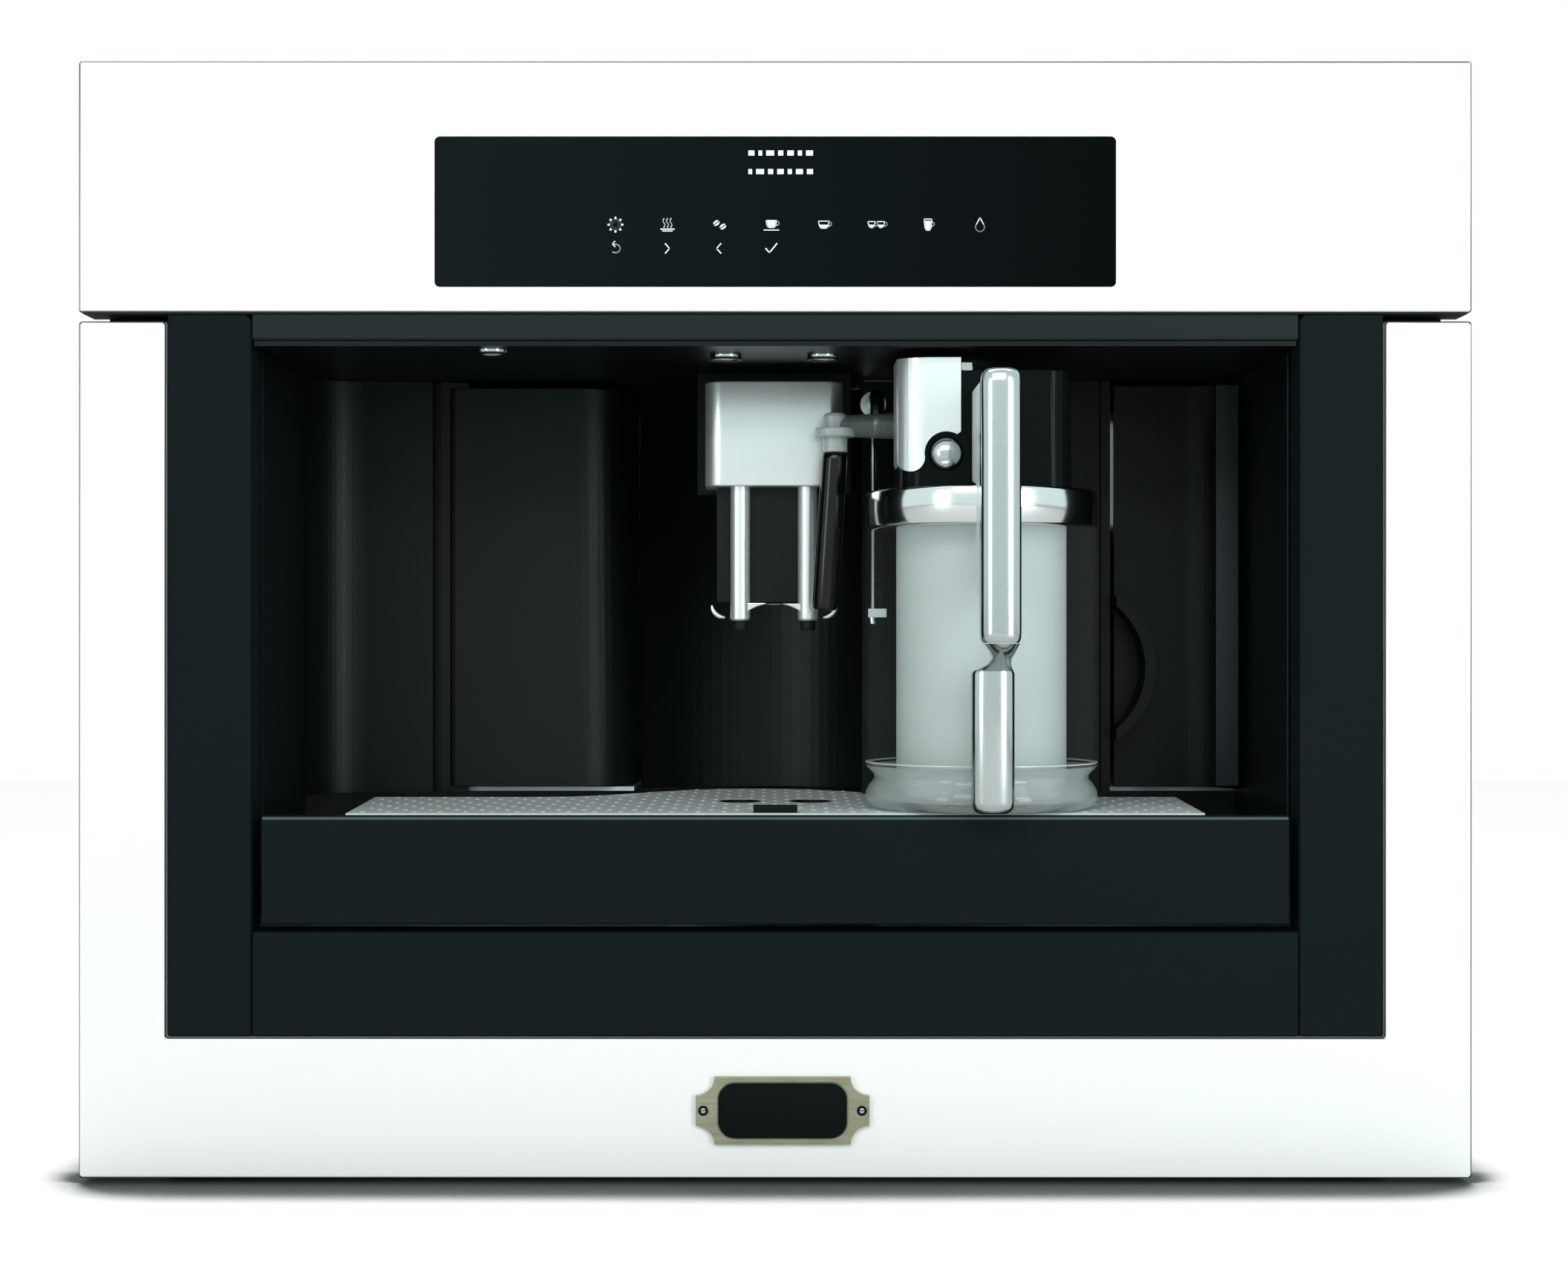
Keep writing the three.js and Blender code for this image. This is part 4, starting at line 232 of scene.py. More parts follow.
paper.links.new(shade.outputs[2], paper_shader.inputs["Base Color"])
paper.links.new(floor_ray.outputs["Is Camera Ray"], floor_share.inputs[0])
paper.links.new(floor_share.outputs[0], open_share.inputs[0])
paper.links.new(openness.outputs[0], open_share.inputs[1])
paper.links.new(open_share.outputs[0], floor_mix.inputs[0])
paper.links.new(paper_shader.outputs[0], floor_mix.inputs[1])
paper.links.new(glow.outputs[0], floor_mix.inputs[2])
paper.links.new(floor_mix.outputs[0], paper.nodes["Material Output"].inputs["Surface"])
bpy.ops.mesh.primitive_plane_add(size=FLOOR_SIZE, location=(0, 0, 0))
floor = bpy.context.object
floor.name = "floor"
floor.data.materials.append(floor_paint)
print("floor", FLOOR_SIZE, "m")

# %% [markdown]
# ## Finishes
# Nearly all finishes here are one idea: a fine noise that is the grain of the surface, and a
# slow noise that is its unevenness. Together they tint the colour a little, move the
# roughness and raise the surface by hundredths of a millimetre. What changes from paint to
# steel is the size of the grain, its stretch along one axis, and how much light it throws back.
# %% A grained finish
def grained(name, dark, light, rough, grain=1500, depth=0.02, stretch=(1, 1, 1), cloud=8, **shine):
    """A finish between two colours. grain is in waves per metre, depth in millimetres."""
    material = bpy.data.materials.new(name)
    material.use_nodes = True
    tree = material.node_tree
    shader = tree.nodes["Principled BSDF"]
    for key, value in shine.items():
        shader.inputs[key.replace("_", " ").title().replace("Ior", "IOR")].default_value = value
    place = tree.nodes.new("ShaderNodeTexCoord")
    turn = node(tree, "ShaderNodeMapping", Scale=stretch)
    fine = node(tree, "ShaderNodeTexNoise", Scale=grain, Detail=2.5, Roughness=0.6)
    slow = node(tree, "ShaderNodeTexNoise", Scale=cloud, Detail=2.0)
    blend = maths(tree, "MULTIPLY", n1=0.5)
    total = maths(tree, "ADD")
    tint = blend_of(tree, (*dark, 1), (*light, 1))
    gloss = node(tree, "ShaderNodeMapRange", n1=0.3, n2=0.7, n3=rough[0], n4=rough[1])
    relief = node(tree, "ShaderNodeBump", Strength=1.0, Distance=depth * MM)
    link = tree.links.new
    link(place.outputs["Object"], turn.inputs["Vector"])
    link(turn.outputs[0], fine.inputs["Vector"])
    link(place.outputs["Object"], slow.inputs["Vector"])
    link(slow.outputs["Fac"], total.inputs[0])
    link(fine.outputs["Fac"], total.inputs[1])
    link(total.outputs[0], blend.inputs[0])
    link(blend.outputs[0], tint.inputs[0])
    link(blend.outputs[0], gloss.inputs[0])
    link(fine.outputs["Fac"], relief.inputs["Height"])
    link(tint.outputs[2], shader.inputs["Base Color"])
    link(gloss.outputs[0], shader.inputs["Roughness"])
    link(relief.outputs[0], shader.inputs["Normal"])
    return material


# %% [markdown]
# ## Paint and plastic
# The white front is stoved enamel: almost smooth, with a faint orange peel. The charcoal
# panels are a fine powder coat, whose grain breaks a highlight into specks. The black
# plastics of the jug's lid are smoother and deeper.
# %% Painted and moulded finishes
white_paint = grained(
    "white_paint", (0.885, 0.89, 0.885), (0.905, 0.91, 0.905), (0.30, 0.38),
    grain=420, depth=0.004, specular_ior_level=0.4,
)
charcoal = grained(
    "charcoal_front", (0.0050, 0.0085, 0.0092), (0.0085, 0.0132, 0.0140), (0.42, 0.58),
    grain=1900, depth=0.035, specular_ior_level=0.025,
)
header_charcoal = grained(
    "header_charcoal", (0.0125, 0.0200, 0.0205), (0.0175, 0.0260, 0.0265), (0.42, 0.58),
    grain=1900, depth=0.035, specular_ior_level=0.05,
)
# A lighter, glossier charcoal for a painted highlight strip.
painted_stripe_highlight = grained(
    "painted_stripe_highlight", (0.019, 0.028, 0.029), (0.028, 0.041, 0.042), (0.34, 0.48),
    grain=1900, depth=0.05, specular_ior_level=0.2,
)
# A lighter charcoal for a painted highlight strip.
painted_edge_highlight = grained(
    "painted_edge_highlight", (0.040, 0.062, 0.064), (0.062, 0.092, 0.094), (0.36, 0.50),
    grain=1900, depth=0.02, specular_ior_level=0.2,
)
cavity_charcoal = grained(
    "cavity_charcoal", (0.0016, 0.0030, 0.0033), (0.0040, 0.0068, 0.0074), (0.30, 0.42),
    grain=1900, depth=0.07, specular_ior_level=0.15,
)
black_plastic = grained(
    "black_plastic", (0.003, 0.004, 0.004), (0.006, 0.008, 0.008), (0.28, 0.38),
    grain=2600, depth=0.006, specular_ior_level=0.1,
)
lid_black = grained(
    "lid_black", (0.0025, 0.0040, 0.0043), (0.0050, 0.0072, 0.0076), (0.12, 0.2),
    grain=300, depth=0.002, specular_ior_level=0.05,
)
tube_black = grained(
    "tube_black", (0.0015, 0.002, 0.002), (0.004, 0.005, 0.005), (0.14, 0.2),
    grain=300, depth=0.002, specular_ior_level=0.3,
)
pale_plastic = grained(
    "pale_plastic", (0.76, 0.86, 0.85), (0.84, 0.93, 0.92), (0.30, 0.42),
    grain=1500, depth=0.006, specular_ior_level=0.5,
)
black_rubber = grained(
    "black_rubber", (0.002, 0.003, 0.003), (0.006, 0.008, 0.008), (0.55, 0.75),
    grain=2200, depth=0.02, specular_ior_level=0.2,
)
print("paints and plastics made")

# %% [markdown]
# A thin dark line runs round the white front in the photograph, where the rounded edge turns
# away from the lamps. On a white ground the light alone draws it too faintly, so a painted
# shade line is added to the paint's colour. The surface's own direction tells where: the flat
# front points straight along Y, and on the rounded edge the direction turns away from it. A
# ramp over that turn is the painted grey shade line.
# %% Painted shade line on the enamel's edges
EDGE_SHADE_GREY = (0.05, 0.0525, 0.0525, 1)
EDGE_STARTS, EDGE_ENDS = 0.04, 0.985
GREY_FROM, GREY_TO = 0.14, 0.84
white_tree = white_paint.node_tree
white_shader = white_tree.nodes["Principled BSDF"]
own_turn = node(white_tree, "ShaderNodeTexCoord")
turn_axes = node(white_tree, "ShaderNodeSeparateXYZ")
across = maths(white_tree, "ABSOLUTE")
edge_shade_ramp = node(white_tree, "ShaderNodeValToRGB")
ramp = edge_shade_ramp.color_ramp.elements
ramp[0].position, ramp[1].position = EDGE_STARTS, EDGE_ENDS
ramp[0].color = ramp[1].color = WHITE
for at in (GREY_FROM, GREY_TO):
    ramp.new(at).color = EDGE_SHADE_GREY
# Painted shade: the enamel's colour is multiplied by the ramp's grey on the rounded edge.
painted_edge_shade = blend_of(white_tree, None, None, 1.0, "MULTIPLY")
plain_white = white_shader.inputs["Base Color"].links[0].from_socket
white_tree.links.new(own_turn.outputs["Normal"], turn_axes.inputs[0])
white_tree.links.new(turn_axes.outputs["Y"], across.inputs[0])
white_tree.links.new(across.outputs[0], edge_shade_ramp.inputs[0])
white_tree.links.new(plain_white, painted_edge_shade.inputs[6])
white_tree.links.new(edge_shade_ramp.outputs[0], painted_edge_shade.inputs[7])
white_tree.links.new(painted_edge_shade.outputs[2], white_shader.inputs["Base Color"])
print("enamel greys at its edges")

# %% [markdown]
# ## Metals
# Bright chrome has hardly any grain of its own: what is seen is the room. It is kept slightly
# grey and cool, as plated plastic is. Satin parts are rubbed before plating, which spreads
# the highlight. Brushed steel has long thin scratches, so its noise is stretched along X.
# %% Metal finishes
chrome = grained(
    "chrome", (0.47, 0.51, 0.505), (0.53, 0.57, 0.565), (0.14, 0.20),
    grain=900, depth=0.0006, metallic=1.0,
)
bright_chrome = grained(
    "bright_chrome", (0.70, 0.73, 0.725), (0.76, 0.79, 0.785), (0.10, 0.16),
    grain=900, depth=0.0006, metallic=1.0,
)
grid_steel = grained(
    "grid_steel", (0.74, 0.84, 0.83), (0.84, 0.93, 0.92), (0.34, 0.48),
    grain=900, depth=0.01, stretch=(0.04, 1, 1), metallic=0.2,
)
satin_chrome = grained(
    "satin_chrome", (0.70, 0.74, 0.735), (0.78, 0.82, 0.815), (0.26, 0.36),
    grain=2400, depth=0.008, metallic=0.74,
)
brushed_steel = grained(
    "brushed_steel", (0.42, 0.50, 0.49), (0.56, 0.64, 0.63), (0.32, 0.46),
    grain=900, depth=0.01, stretch=(0.04, 1, 1), metallic=1.0,
)
galvanised = grained(
    "galvanised_sheet", (0.34, 0.36, 0.37), (0.56, 0.58, 0.60), (0.34, 0.52),
    grain=120, depth=0.01, cloud=60, metallic=1.0,
)
aged_brass = grained(
    "aged_brass", (0.13, 0.125, 0.075), (0.52, 0.51, 0.37), (0.22, 0.38),
    grain=700, depth=0.012, stretch=(0.08, 1, 1), cloud=45, metallic=1.0,
)
copper = grained(
    "copper", (0.50, 0.24, 0.14), (0.72, 0.38, 0.24), (0.22, 0.36),
    grain=500, depth=0.006, metallic=1.0,
)
print("metals made")

# %% [markdown]
# ## Glass and see-through plastic
# The display is black glass, with a painted reflection that makes it a little lighter to the
# left. The jug's outer shell is clear: it shows only where the eye meets it at a slant, so its
# cover grows with the facing angle. The inner vessel is frosted, nearly opaque, with a faint
# view of the tube inside.
# %% See-through finishes
def see_through(material, face_on, slanted, blend=0.5):
    """Makes a finish transparent: its cover face-on and at a slant."""
    tree = material.node_tree
    facing = node(tree, "ShaderNodeLayerWeight", Blend=blend)
    cover = node(tree, "ShaderNodeMapRange", n1=0.0, n2=1.0, n3=face_on, n4=slanted)
    tree.links.new(facing.outputs["Facing"], cover.inputs[0])
    tree.links.new(cover.outputs[0], tree.nodes["Principled BSDF"].inputs["Alpha"])
    return material


clear_plastic = see_through(grained(
    "clear_plastic", (0.50, 0.56, 0.55), (0.56, 0.62, 0.61), (0.03, 0.06),
    grain=60, depth=0.01, specular_ior_level=0.6,
), 0.002, 0.06, 0.1)
clear_base = see_through(grained(
    "clear_base", (0.44, 0.51, 0.50), (0.60, 0.67, 0.66), (0.04, 0.10),
    grain=60, depth=0.03, specular_ior_level=0.8,
), 0.30, 0.80, 0.35)
clear_rim = see_through(grained(
    "clear_rim", (0.72, 0.80, 0.79), (0.82, 0.90, 0.89), (0.08, 0.16),
    grain=60, depth=0.01, specular_ior_level=0.8,
), 0.75, 0.95)
frosted_plastic = see_through(grained(
    "frosted_plastic", (0.58, 0.66, 0.65), (0.66, 0.74, 0.73), (0.42, 0.55),
    grain=2200, depth=0.012, specular_ior_level=0.35,
), 0.86, 0.98)
smoked_plastic = see_through(grained(
    "smoked_plastic", (0.010, 0.013, 0.013), (0.02, 0.026, 0.026), (0.10, 0.18),
    grain=200, depth=0.004, specular_ior_level=0.5,
), 0.72, 0.95)
milky_plastic = see_through(grained(
    "milky_plastic", (0.44, 0.51, 0.50), (0.56, 0.63, 0.62), (0.26, 0.38),
    grain=1200, depth=0.01, specular_ior_level=0.5,
), 0.80, 0.96)
dim_plastic = see_through(grained(
    "dim_plastic", (0.10, 0.125, 0.122), (0.17, 0.205, 0.20), (0.22, 0.34),
    grain=1200, depth=0.01, specular_ior_level=0.35,
), 0.62, 0.92)
black_glass = grained(
    "black_glass", (0.004, 0.0065, 0.007), (0.006, 0.009, 0.0095), (0.09, 0.13),
    grain=30, depth=0.001, specular_ior_level=0.025,
)
icon_ink = grained(
    "icon_ink", (0.80, 0.84, 0.84), (0.90, 0.93, 0.93), (0.45, 0.60),
    grain=3000, depth=0.004,
)
lens_glass = grained(
    "lens_glass", (0.78, 0.84, 0.83), (0.92, 0.96, 0.95), (0.10, 0.22),
    grain=1600, depth=0.03, specular_ior_level=0.8,
)
print("see-through finishes made")

# %% Painted reflection on the black glass
glass = Box("display_glass")
# Painted reflection: the glass colour runs from lighter on the left to darker on the right.
GLASS_REFLECTION_LEFT = (0.0065, 0.0105, 0.0112, 1)
GLASS_RIGHT = (0.0016, 0.0028, 0.003, 1)
glass_tree = black_glass.node_tree
glass_shader = glass_tree.nodes["Principled BSDF"]
glass_place = node(glass_tree, "ShaderNodeTexCoord")
glass_axes = node(glass_tree, "ShaderNodeSeparateXYZ")
glass_run = node(glass_tree, "ShaderNodeMapRange", n1=glass.x0 * MM, n2=glass.x1 * MM)
glass_painted_reflection = blend_of(glass_tree, GLASS_REFLECTION_LEFT, GLASS_RIGHT)
glass_tree.links.new(glass_place.outputs["Object"], glass_axes.inputs[0])
glass_tree.links.new(glass_axes.outputs["X"], glass_run.inputs[0])
glass_tree.links.new(glass_run.outputs[0], glass_painted_reflection.inputs[0])
glass_tree.links.new(glass_painted_reflection.outputs[2], glass_shader.inputs["Base Color"])
print("glass from", GLASS_REFLECTION_LEFT[:3], "to", GLASS_RIGHT[:3])

# %% [markdown]
# ## Forms
# Each new piece is a form: a list of points in millimetres and a list of faces. Most of
# them start from a flat outline with rounded corners. Pushed along an axis the outline is a
# slab, spun round an axis it is a vase, and swept along a path it is a pipe. Writing the
# points out by formula keeps every size exact, and every form closed.
# %% Outlines
def fillet(corners, radii, steps=6):
    """An outline (anticlockwise or not) with each corner rounded by its own radius."""
    count = len(corners)
    radii = [radii] * count if isinstance(radii, (int, float)) else radii
    outline = []
    for i, (corner, radius) in enumerate(zip(corners, radii)):
        here = Vector(corner)
        before = (Vector(corners[i - 1]) - here).normalized()
        after = (Vector(corners[(i + 1) % count]) - here).normalized()
        if radius <= 0:
            outline.append((here.x, here.y))
            continue
        half = before.angle(after) / 2
        reach = radius / math.tan(half)
        middle = here + (before + after).normalized() * (radius / math.sin(half))
        start = here + before * reach - middle
        end = here + after * reach - middle
        sweep = start.angle_signed(end)
        for step in range(steps + 1):
            turn = -sweep * step / steps
            spoke = Vector((start.x * math.cos(turn) - start.y * math.sin(turn),
                            start.x * math.sin(turn) + start.y * math.cos(turn)))
            outline.append((middle.x + spoke.x, middle.y + spoke.y))
    return outline


def rounded(x0, x1, y0, y1, radius, steps=6):
    """A rectangle with rounded corners."""
    return fillet([(x0, y0), (x1, y0), (x1, y1), (x0, y1)], radius, steps)


def ring(x, y, radius, steps=32):
    """A circle as an outline."""
    angles = [math.tau * i / steps for i in range(steps)]
    return [(x + radius * math.cos(a), y + radius * math.sin(a)) for a in angles]


def shrunk(outline, depth):
    """The outline drawn in by a depth, point by point."""
    ahead = outline[1:] + outline[:1]
    area = sum(a[0] * b[1] - b[0] * a[1] for a, b in zip(outline, ahead))
    turn = 1 if area > 0 else -1
    made = []
    for i, point in enumerate(outline):
        before = Vector(outline[i - 1])
        after = Vector(outline[(i + 1) % len(outline)])
        along = (after - before).normalized()
        made.append((point[0] - along.y * depth * turn, point[1] + along.x * depth * turn))
    return made


print("a rounded square has", len(rounded(0, 10, 0, 10, 2)), "points")


# %% Solids from outlines
def stack(rings):
    """A closed form through equal rings of points, capped flat at both ends."""
    points = [point for one in rings for point in one]
    count = len(rings[0])
    faces = []
    for level in range(len(rings) - 1):
        low = level * count
        for i in range(count):
            j = (i + 1) % count
            faces.append((low + i, low + j, low + count + j, low + count + i))
    faces.append(tuple(reversed(range(count))))
    faces.append(tuple(range(len(points) - count, len(points))))
    return points, faces


def hoop(rings):
    """A closed band: each ring of points joins the next, and the last joins the first."""
    points = [point for one in rings for point in one]
    count = len(rings[0])
    faces = []
    for level in range(len(rings)):
        here, after = level * count, (level + 1) % len(rings) * count
        for i in range(count):
            j = (i + 1) % count
            faces.append((here + i, here + j, after + j, after + i))
    return points, faces


def slab(outline, low, high, rim=0.0, axis="Z", steps=3):
    """An outline pushed from low to high along an axis, its two rims rounded."""
    levels = [(low, 0.0), (high, 0.0)]
    if rim > 0:
        arc = [math.pi / 2 * i / steps for i in range(steps + 1)]
        foot = [(low + rim * (1 - math.sin(a)), rim * (1 - math.cos(a)))
                for a in reversed(arc)]
        levels = foot + [(low + high - at, inward) for at, inward in reversed(foot)]
    rings = []
    for at, inward in levels:
        flat = shrunk(outline, inward) if inward else outline
        place = {
            "Z": lambda p: (p[0], p[1], at),
            "Y": lambda p: (p[0], at, p[1]),
            "X": lambda p: (at, p[0], p[1]),
        }[axis]
        rings.append([place(p) for p in flat])
    return stack(rings)


def lathe(profile, x, y, steps=64):
    """A profile of (radius, z) spun round an upright axis. Closed ends lie on the axis."""
    points, faces, rows = [], [], []
    for radius, z in profile:
        if radius < 1e-6:
            rows.append([len(points)] * steps)
            points.append((x, y, z))
            continue
        rows.append(list(range(len(points), len(points) + steps)))
        points += [(px, py, z) for px, py in ring(x, y, radius, steps)]
    for low, high in zip(rows, rows[1:]):
        for i in range(steps):
            j = (i + 1) % steps
            corners = list(dict.fromkeys((low[i], low[j], high[j], high[i])))
            if len(corners) > 2:
                faces.append(tuple(corners))
    return points, faces


def shell_of(profile, x, y, steps=64):
    """A profile of (radius, z) that comes back to its start, spun into a hollow form."""
    return lathe(profile + profile[:1], x, y, steps)


def pipe(path, radius, sides=20):
    """A round bar along a path. radius is one number, or one for each point."""
    path = [Vector(p) for p in path]
    radii = radius if isinstance(radius, (list, tuple)) else [radius] * len(path)
    rings = []
    side = None
    for i, here in enumerate(path):
        ahead = path[min(i + 1, len(path) - 1)] - path[max(i - 1, 0)]
        ahead.normalize()
        if side is None:
            side = ahead.orthogonal().normalized()
        side = (side - ahead * side.dot(ahead)).normalized()
        over = ahead.cross(side)
        rings.append([
            tuple(here + (side * math.cos(a) + over * math.sin(a)) * radii[i])
            for a in (math.tau * k / sides for k in range(sides))
        ])
    return stack(rings)


def joined(*forms):
    """Several forms in one mesh."""
    points, faces = [], []
    for more, theirs in forms:
        base = len(points)
        points += more
        faces += [tuple(base + i for i in face) for face in theirs]
    return points, faces


print("form helpers ready")

# %% [markdown]
# ## From a form to a piece
# The points go into a mesh in metres, so the object itself stays at the origin, unturned and
# unscaled. Points that meet are merged and all faces are turned outward. Smooth shading with
# an angle limit keeps round walls smooth and real edges crisp.
# %% Pieces
def finished(mesh, edge=35):
    """Merges, turns the faces outward and shades smooth up to an edge angle."""
    work = bmesh.new()
    work.from_mesh(mesh)
    bmesh.ops.remove_doubles(work, verts=work.verts, dist=1e-7)
    bmesh.ops.recalc_face_normals(work, faces=work.faces)
    work.to_mesh(mesh)
    work.free()
    mesh.polygons.foreach_set("use_smooth", [True] * len(mesh.polygons))
    mesh.set_sharp_from_angle(angle=math.radians(edge))
    mesh.update()


def piece(name, form, material, edge=35):
    """A new object from a form in millimetres."""
    points, faces = form
    mesh = bpy.data.meshes.new(name)
    mesh.from_pydata([tuple(v * MM for v in point) for point in points], [], faces)
    finished(mesh, edge)
    mesh.materials.append(material)
    made = bpy.data.objects.new(name, mesh)
    bpy.context.collection.objects.link(made)
    return made


def settle(made, node_name, slot, *replaced):
    """Lets a piece ride with a solid and hides the solids that it stands for."""
    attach(made, body_of[node_name])
    if replaced:
        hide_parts(*replaced)
    return made


def softened(node_name, material, slot, radius, segments=2):
    """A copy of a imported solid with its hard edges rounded, in the solid's place."""
    mesh = frame["nodes"][node_name].data.copy()
    mesh.materials.clear()
    made = bpy.data.objects.new(f"soft_{node_name}", mesh)
    bpy.context.collection.objects.link(made)
    finished(mesh)
    mesh.materials.append(material)
    edges = made.modifiers.new("soft_edges", "BEVEL")
    edges.width = radius * MM
    edges.segments = segments
    edges.limit_method = "ANGLE"
    edges.angle_limit = math.radians(40)
    flats = made.modifiers.new("flat_faces", "WEIGHTED_NORMAL")
    flats.keep_sharp = True
    return settle(made, node_name, slot, node_name)


def dress(finish, *node_names):
    """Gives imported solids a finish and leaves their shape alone."""
    for node_name in node_names:
        for place in frame["nodes"][node_name].material_slots:
            place.link = "OBJECT"
            place.material = finish


print("pieces can be made, rounded and dressed")

# %% [markdown]
# ## Fronts and casing
# Folded sheet metal has no knife edges. A Bevel modifier of half a millimetre on a copy of
# the solid is enough: it catches a thin line of light or shade, and that line is what makes
# a white front readable on a white ground. Pieces that are hidden in the casing keep their
# solid as it is and only get a finish.
# %% Sheet-metal fronts
SHEET_EDGE = 1.1
PANEL_EDGE = 0.5
softened("control_fascia", white_paint, "white_paint", SHEET_EDGE)
softened("lower_frame", white_paint, "white_paint", SHEET_EDGE)
for panel in ("pillar_left", "pillar_right", "lower_panel", "drip_tray_front"):
    softened(panel, charcoal, "charcoal_front", PANEL_EDGE)
softened("header_strip", header_charcoal, "charcoal_front", PANEL_EDGE)
# Painted highlight: a thin lighter strip on the tray front's top edge stands for the line of light
# on its rounded edge.
tray_face = Box("drip_tray_front")
SHEEN_HEIGHT = 1.2
SHEEN_PROUD = 0.06
sheen_top = tray_face.z1 - 0.35
sheen_plan = rounded(tray_face.x0 + 0.6, tray_face.x1 - 0.6, sheen_top - SHEEN_HEIGHT,
                     sheen_top, 0.4, 3)
sheen = slab(sheen_plan, tray_face.y0 - SHEEN_PROUD, tray_face.y0 + 0.3, 0, "Y")
settle(piece("tray_edge_sheen", sheen, painted_edge_highlight), "drip_tray_front", "charcoal_front")
dress(black_glass, "display_glass")
SEAL_SHEET = 0.2
SEAL_INSET = 1.5
seal_top = fascia.z0 - 0.05
seal_plan = rounded(fascia.x0 + SEAL_INSET, fascia.x1 - SEAL_INSET, fascia.y0 + 0.9,
                    fascia.y1, 0.5, 3)
seal = slab(seal_plan, seal_top - SEAL_SHEET, seal_top)
settle(piece("fascia_seal", seal, black_rubber), "control_fascia", "black_rubber")
print("fronts done")

# %% Casing and inner machinery
dress(
    galvanised, "cabinet_base_frame", "chassis_shell", "chassis_deck", "top_cover", "rear_panel",
)
dress(black_plastic, "front_carrier")
rails = [name for name in body_of if "rail_" in name or "runner_" in name]
dress(brushed_steel, "brew_spindle", *rails)
dress(black_plastic, "control_board", "brew_frame", "main_switch", "drip_tray", "spout_housing",
      "tray_float", "grind_knob")
dress(pale_plastic, "brew_piston", "water_pump", "grinder_cone")
dress(copper, "coffee_boiler")
dress(smoked_plastic, "bean_hopper", "water_tank", "bean_lid", "grounds_container")
dress(black_plastic, "grinder_housing")
print("rails:", rails)

# %% [markdown]
# ## Walls of the cup space
# The back of the cup space is a row of tall panels. The middle one is hollow like a channel
# and the door beside it has a rounded nose, so each shows an upright band of light. The
# finish is the charcoal powder coat again, a little glossier, with a grain that breaks the
# bands into specks.
# %% Cup-space walls
WALL_EDGE = 0.6
for wall in ("left_liner", "service_door", "bay_panel", "tank_guide", "water_tank_front"):
    softened(wall, cavity_charcoal, "charcoal_front", WALL_EDGE)
dress(cavity_charcoal, "cavity_ceiling")
tank_face = Box("water_tank_front")
# Painted highlight: a lighter strip near the tank front's right edge stands for the upright band of
# light on its curved corner.
STRIPE_SHEET = 0.4
STRIPE_LEFT, STRIPE_RIGHT = 209.0, 219.6
tank_points = frame["nodes"]["water_tank_front"].data.vertices
tank_surface = min(point.co.y for point in tank_points if point.co.x > STRIPE_LEFT * MM) / MM
stripe_plan = rounded(STRIPE_LEFT, STRIPE_RIGHT, tank_face.z0 + 2, tank_face.z1 - 2, 0.6, 3)
tank_stripe = slab(stripe_plan, tank_surface - STRIPE_SHEET, tank_surface + 0.2, 0.15, "Y")
settle(piece("tank_stripe", tank_stripe, painted_stripe_highlight), "water_tank_front",
       "charcoal_front")
print("walls done, tank front at", round(tank_surface, 2))

# %% [markdown]
# ## Spotlights
# Three small lamps sit in the ceiling: a chrome ring round a domed lens. The ring is a
# profile spun round an upright axis, and so is the lens.
# %% Spotlights
LAMP_RADIUS = 7
ceiling = Box("cavity_ceiling")
LAMPS = ((-21.7, 34.5), (20.9, 34.5), (-122.6, 16.0))
for number, (lamp_x, lamp_depth) in enumerate(LAMPS):
    lamp_y = fascia.y0 + lamp_depth
    top = ceiling.z0 + 2.2
    bezel = shell_of([
        (LAMP_RADIUS - 2.0, top), (LAMP_RADIUS, top), (LAMP_RADIUS, top - 1.2),
        (LAMP_RADIUS - 0.5, top - 2.0), (LAMP_RADIUS - 1.2, top - 2.15),
        (LAMP_RADIUS - 2.0, top - 1.6),
    ], lamp_x, lamp_y)
    settle(piece(f"lamp_bezel_{number}", bezel, chrome), "cavity_ceiling", "chrome")
    lens_profile = [(0, top), (LAMP_RADIUS - 2.2, top), (LAMP_RADIUS - 2.2, top - 1.0),
                    (LAMP_RADIUS - 3.6, top - 1.5), (0, top - 1.8)]
    settle(piece(f"lamp_lens_{number}", lathe(lens_profile, lamp_x, lamp_y), lens_glass),
           "cavity_ceiling", "clear_plastic")
print(len(LAMPS), "spotlights")

# %% [markdown]
# ## Coffee spout
# A chrome cover with two big rounded front corners hides the guide. Below it a dark carriage
# slides up and down with the two outlet tubes and a chrome lip. The lip's lower edge rises
# in an arch between the tubes, and each tube ends in a black rubber tip.
# %% Coffee spout cover and carriage
cover = Box("spout_cover")
COVER_CORNER = 9
cover_corners = [COVER_CORNER, COVER_CORNER, 0.4, 0.4]
cover_plan = rounded(cover.x0, cover.x1, cover.y0, cover.y1, cover_corners, 10)
settle(piece("cover_shell", slab(cover_plan, cover.z0, cover.z1, 0.9), satin_chrome),
       "spout_cover", "chrome", "spout_cover")
softened("spout_carriage", cavity_charcoal, "black_plastic", 0.5)
print("cover", round(cover.x1 - cover.x0, 1), "mm wide")

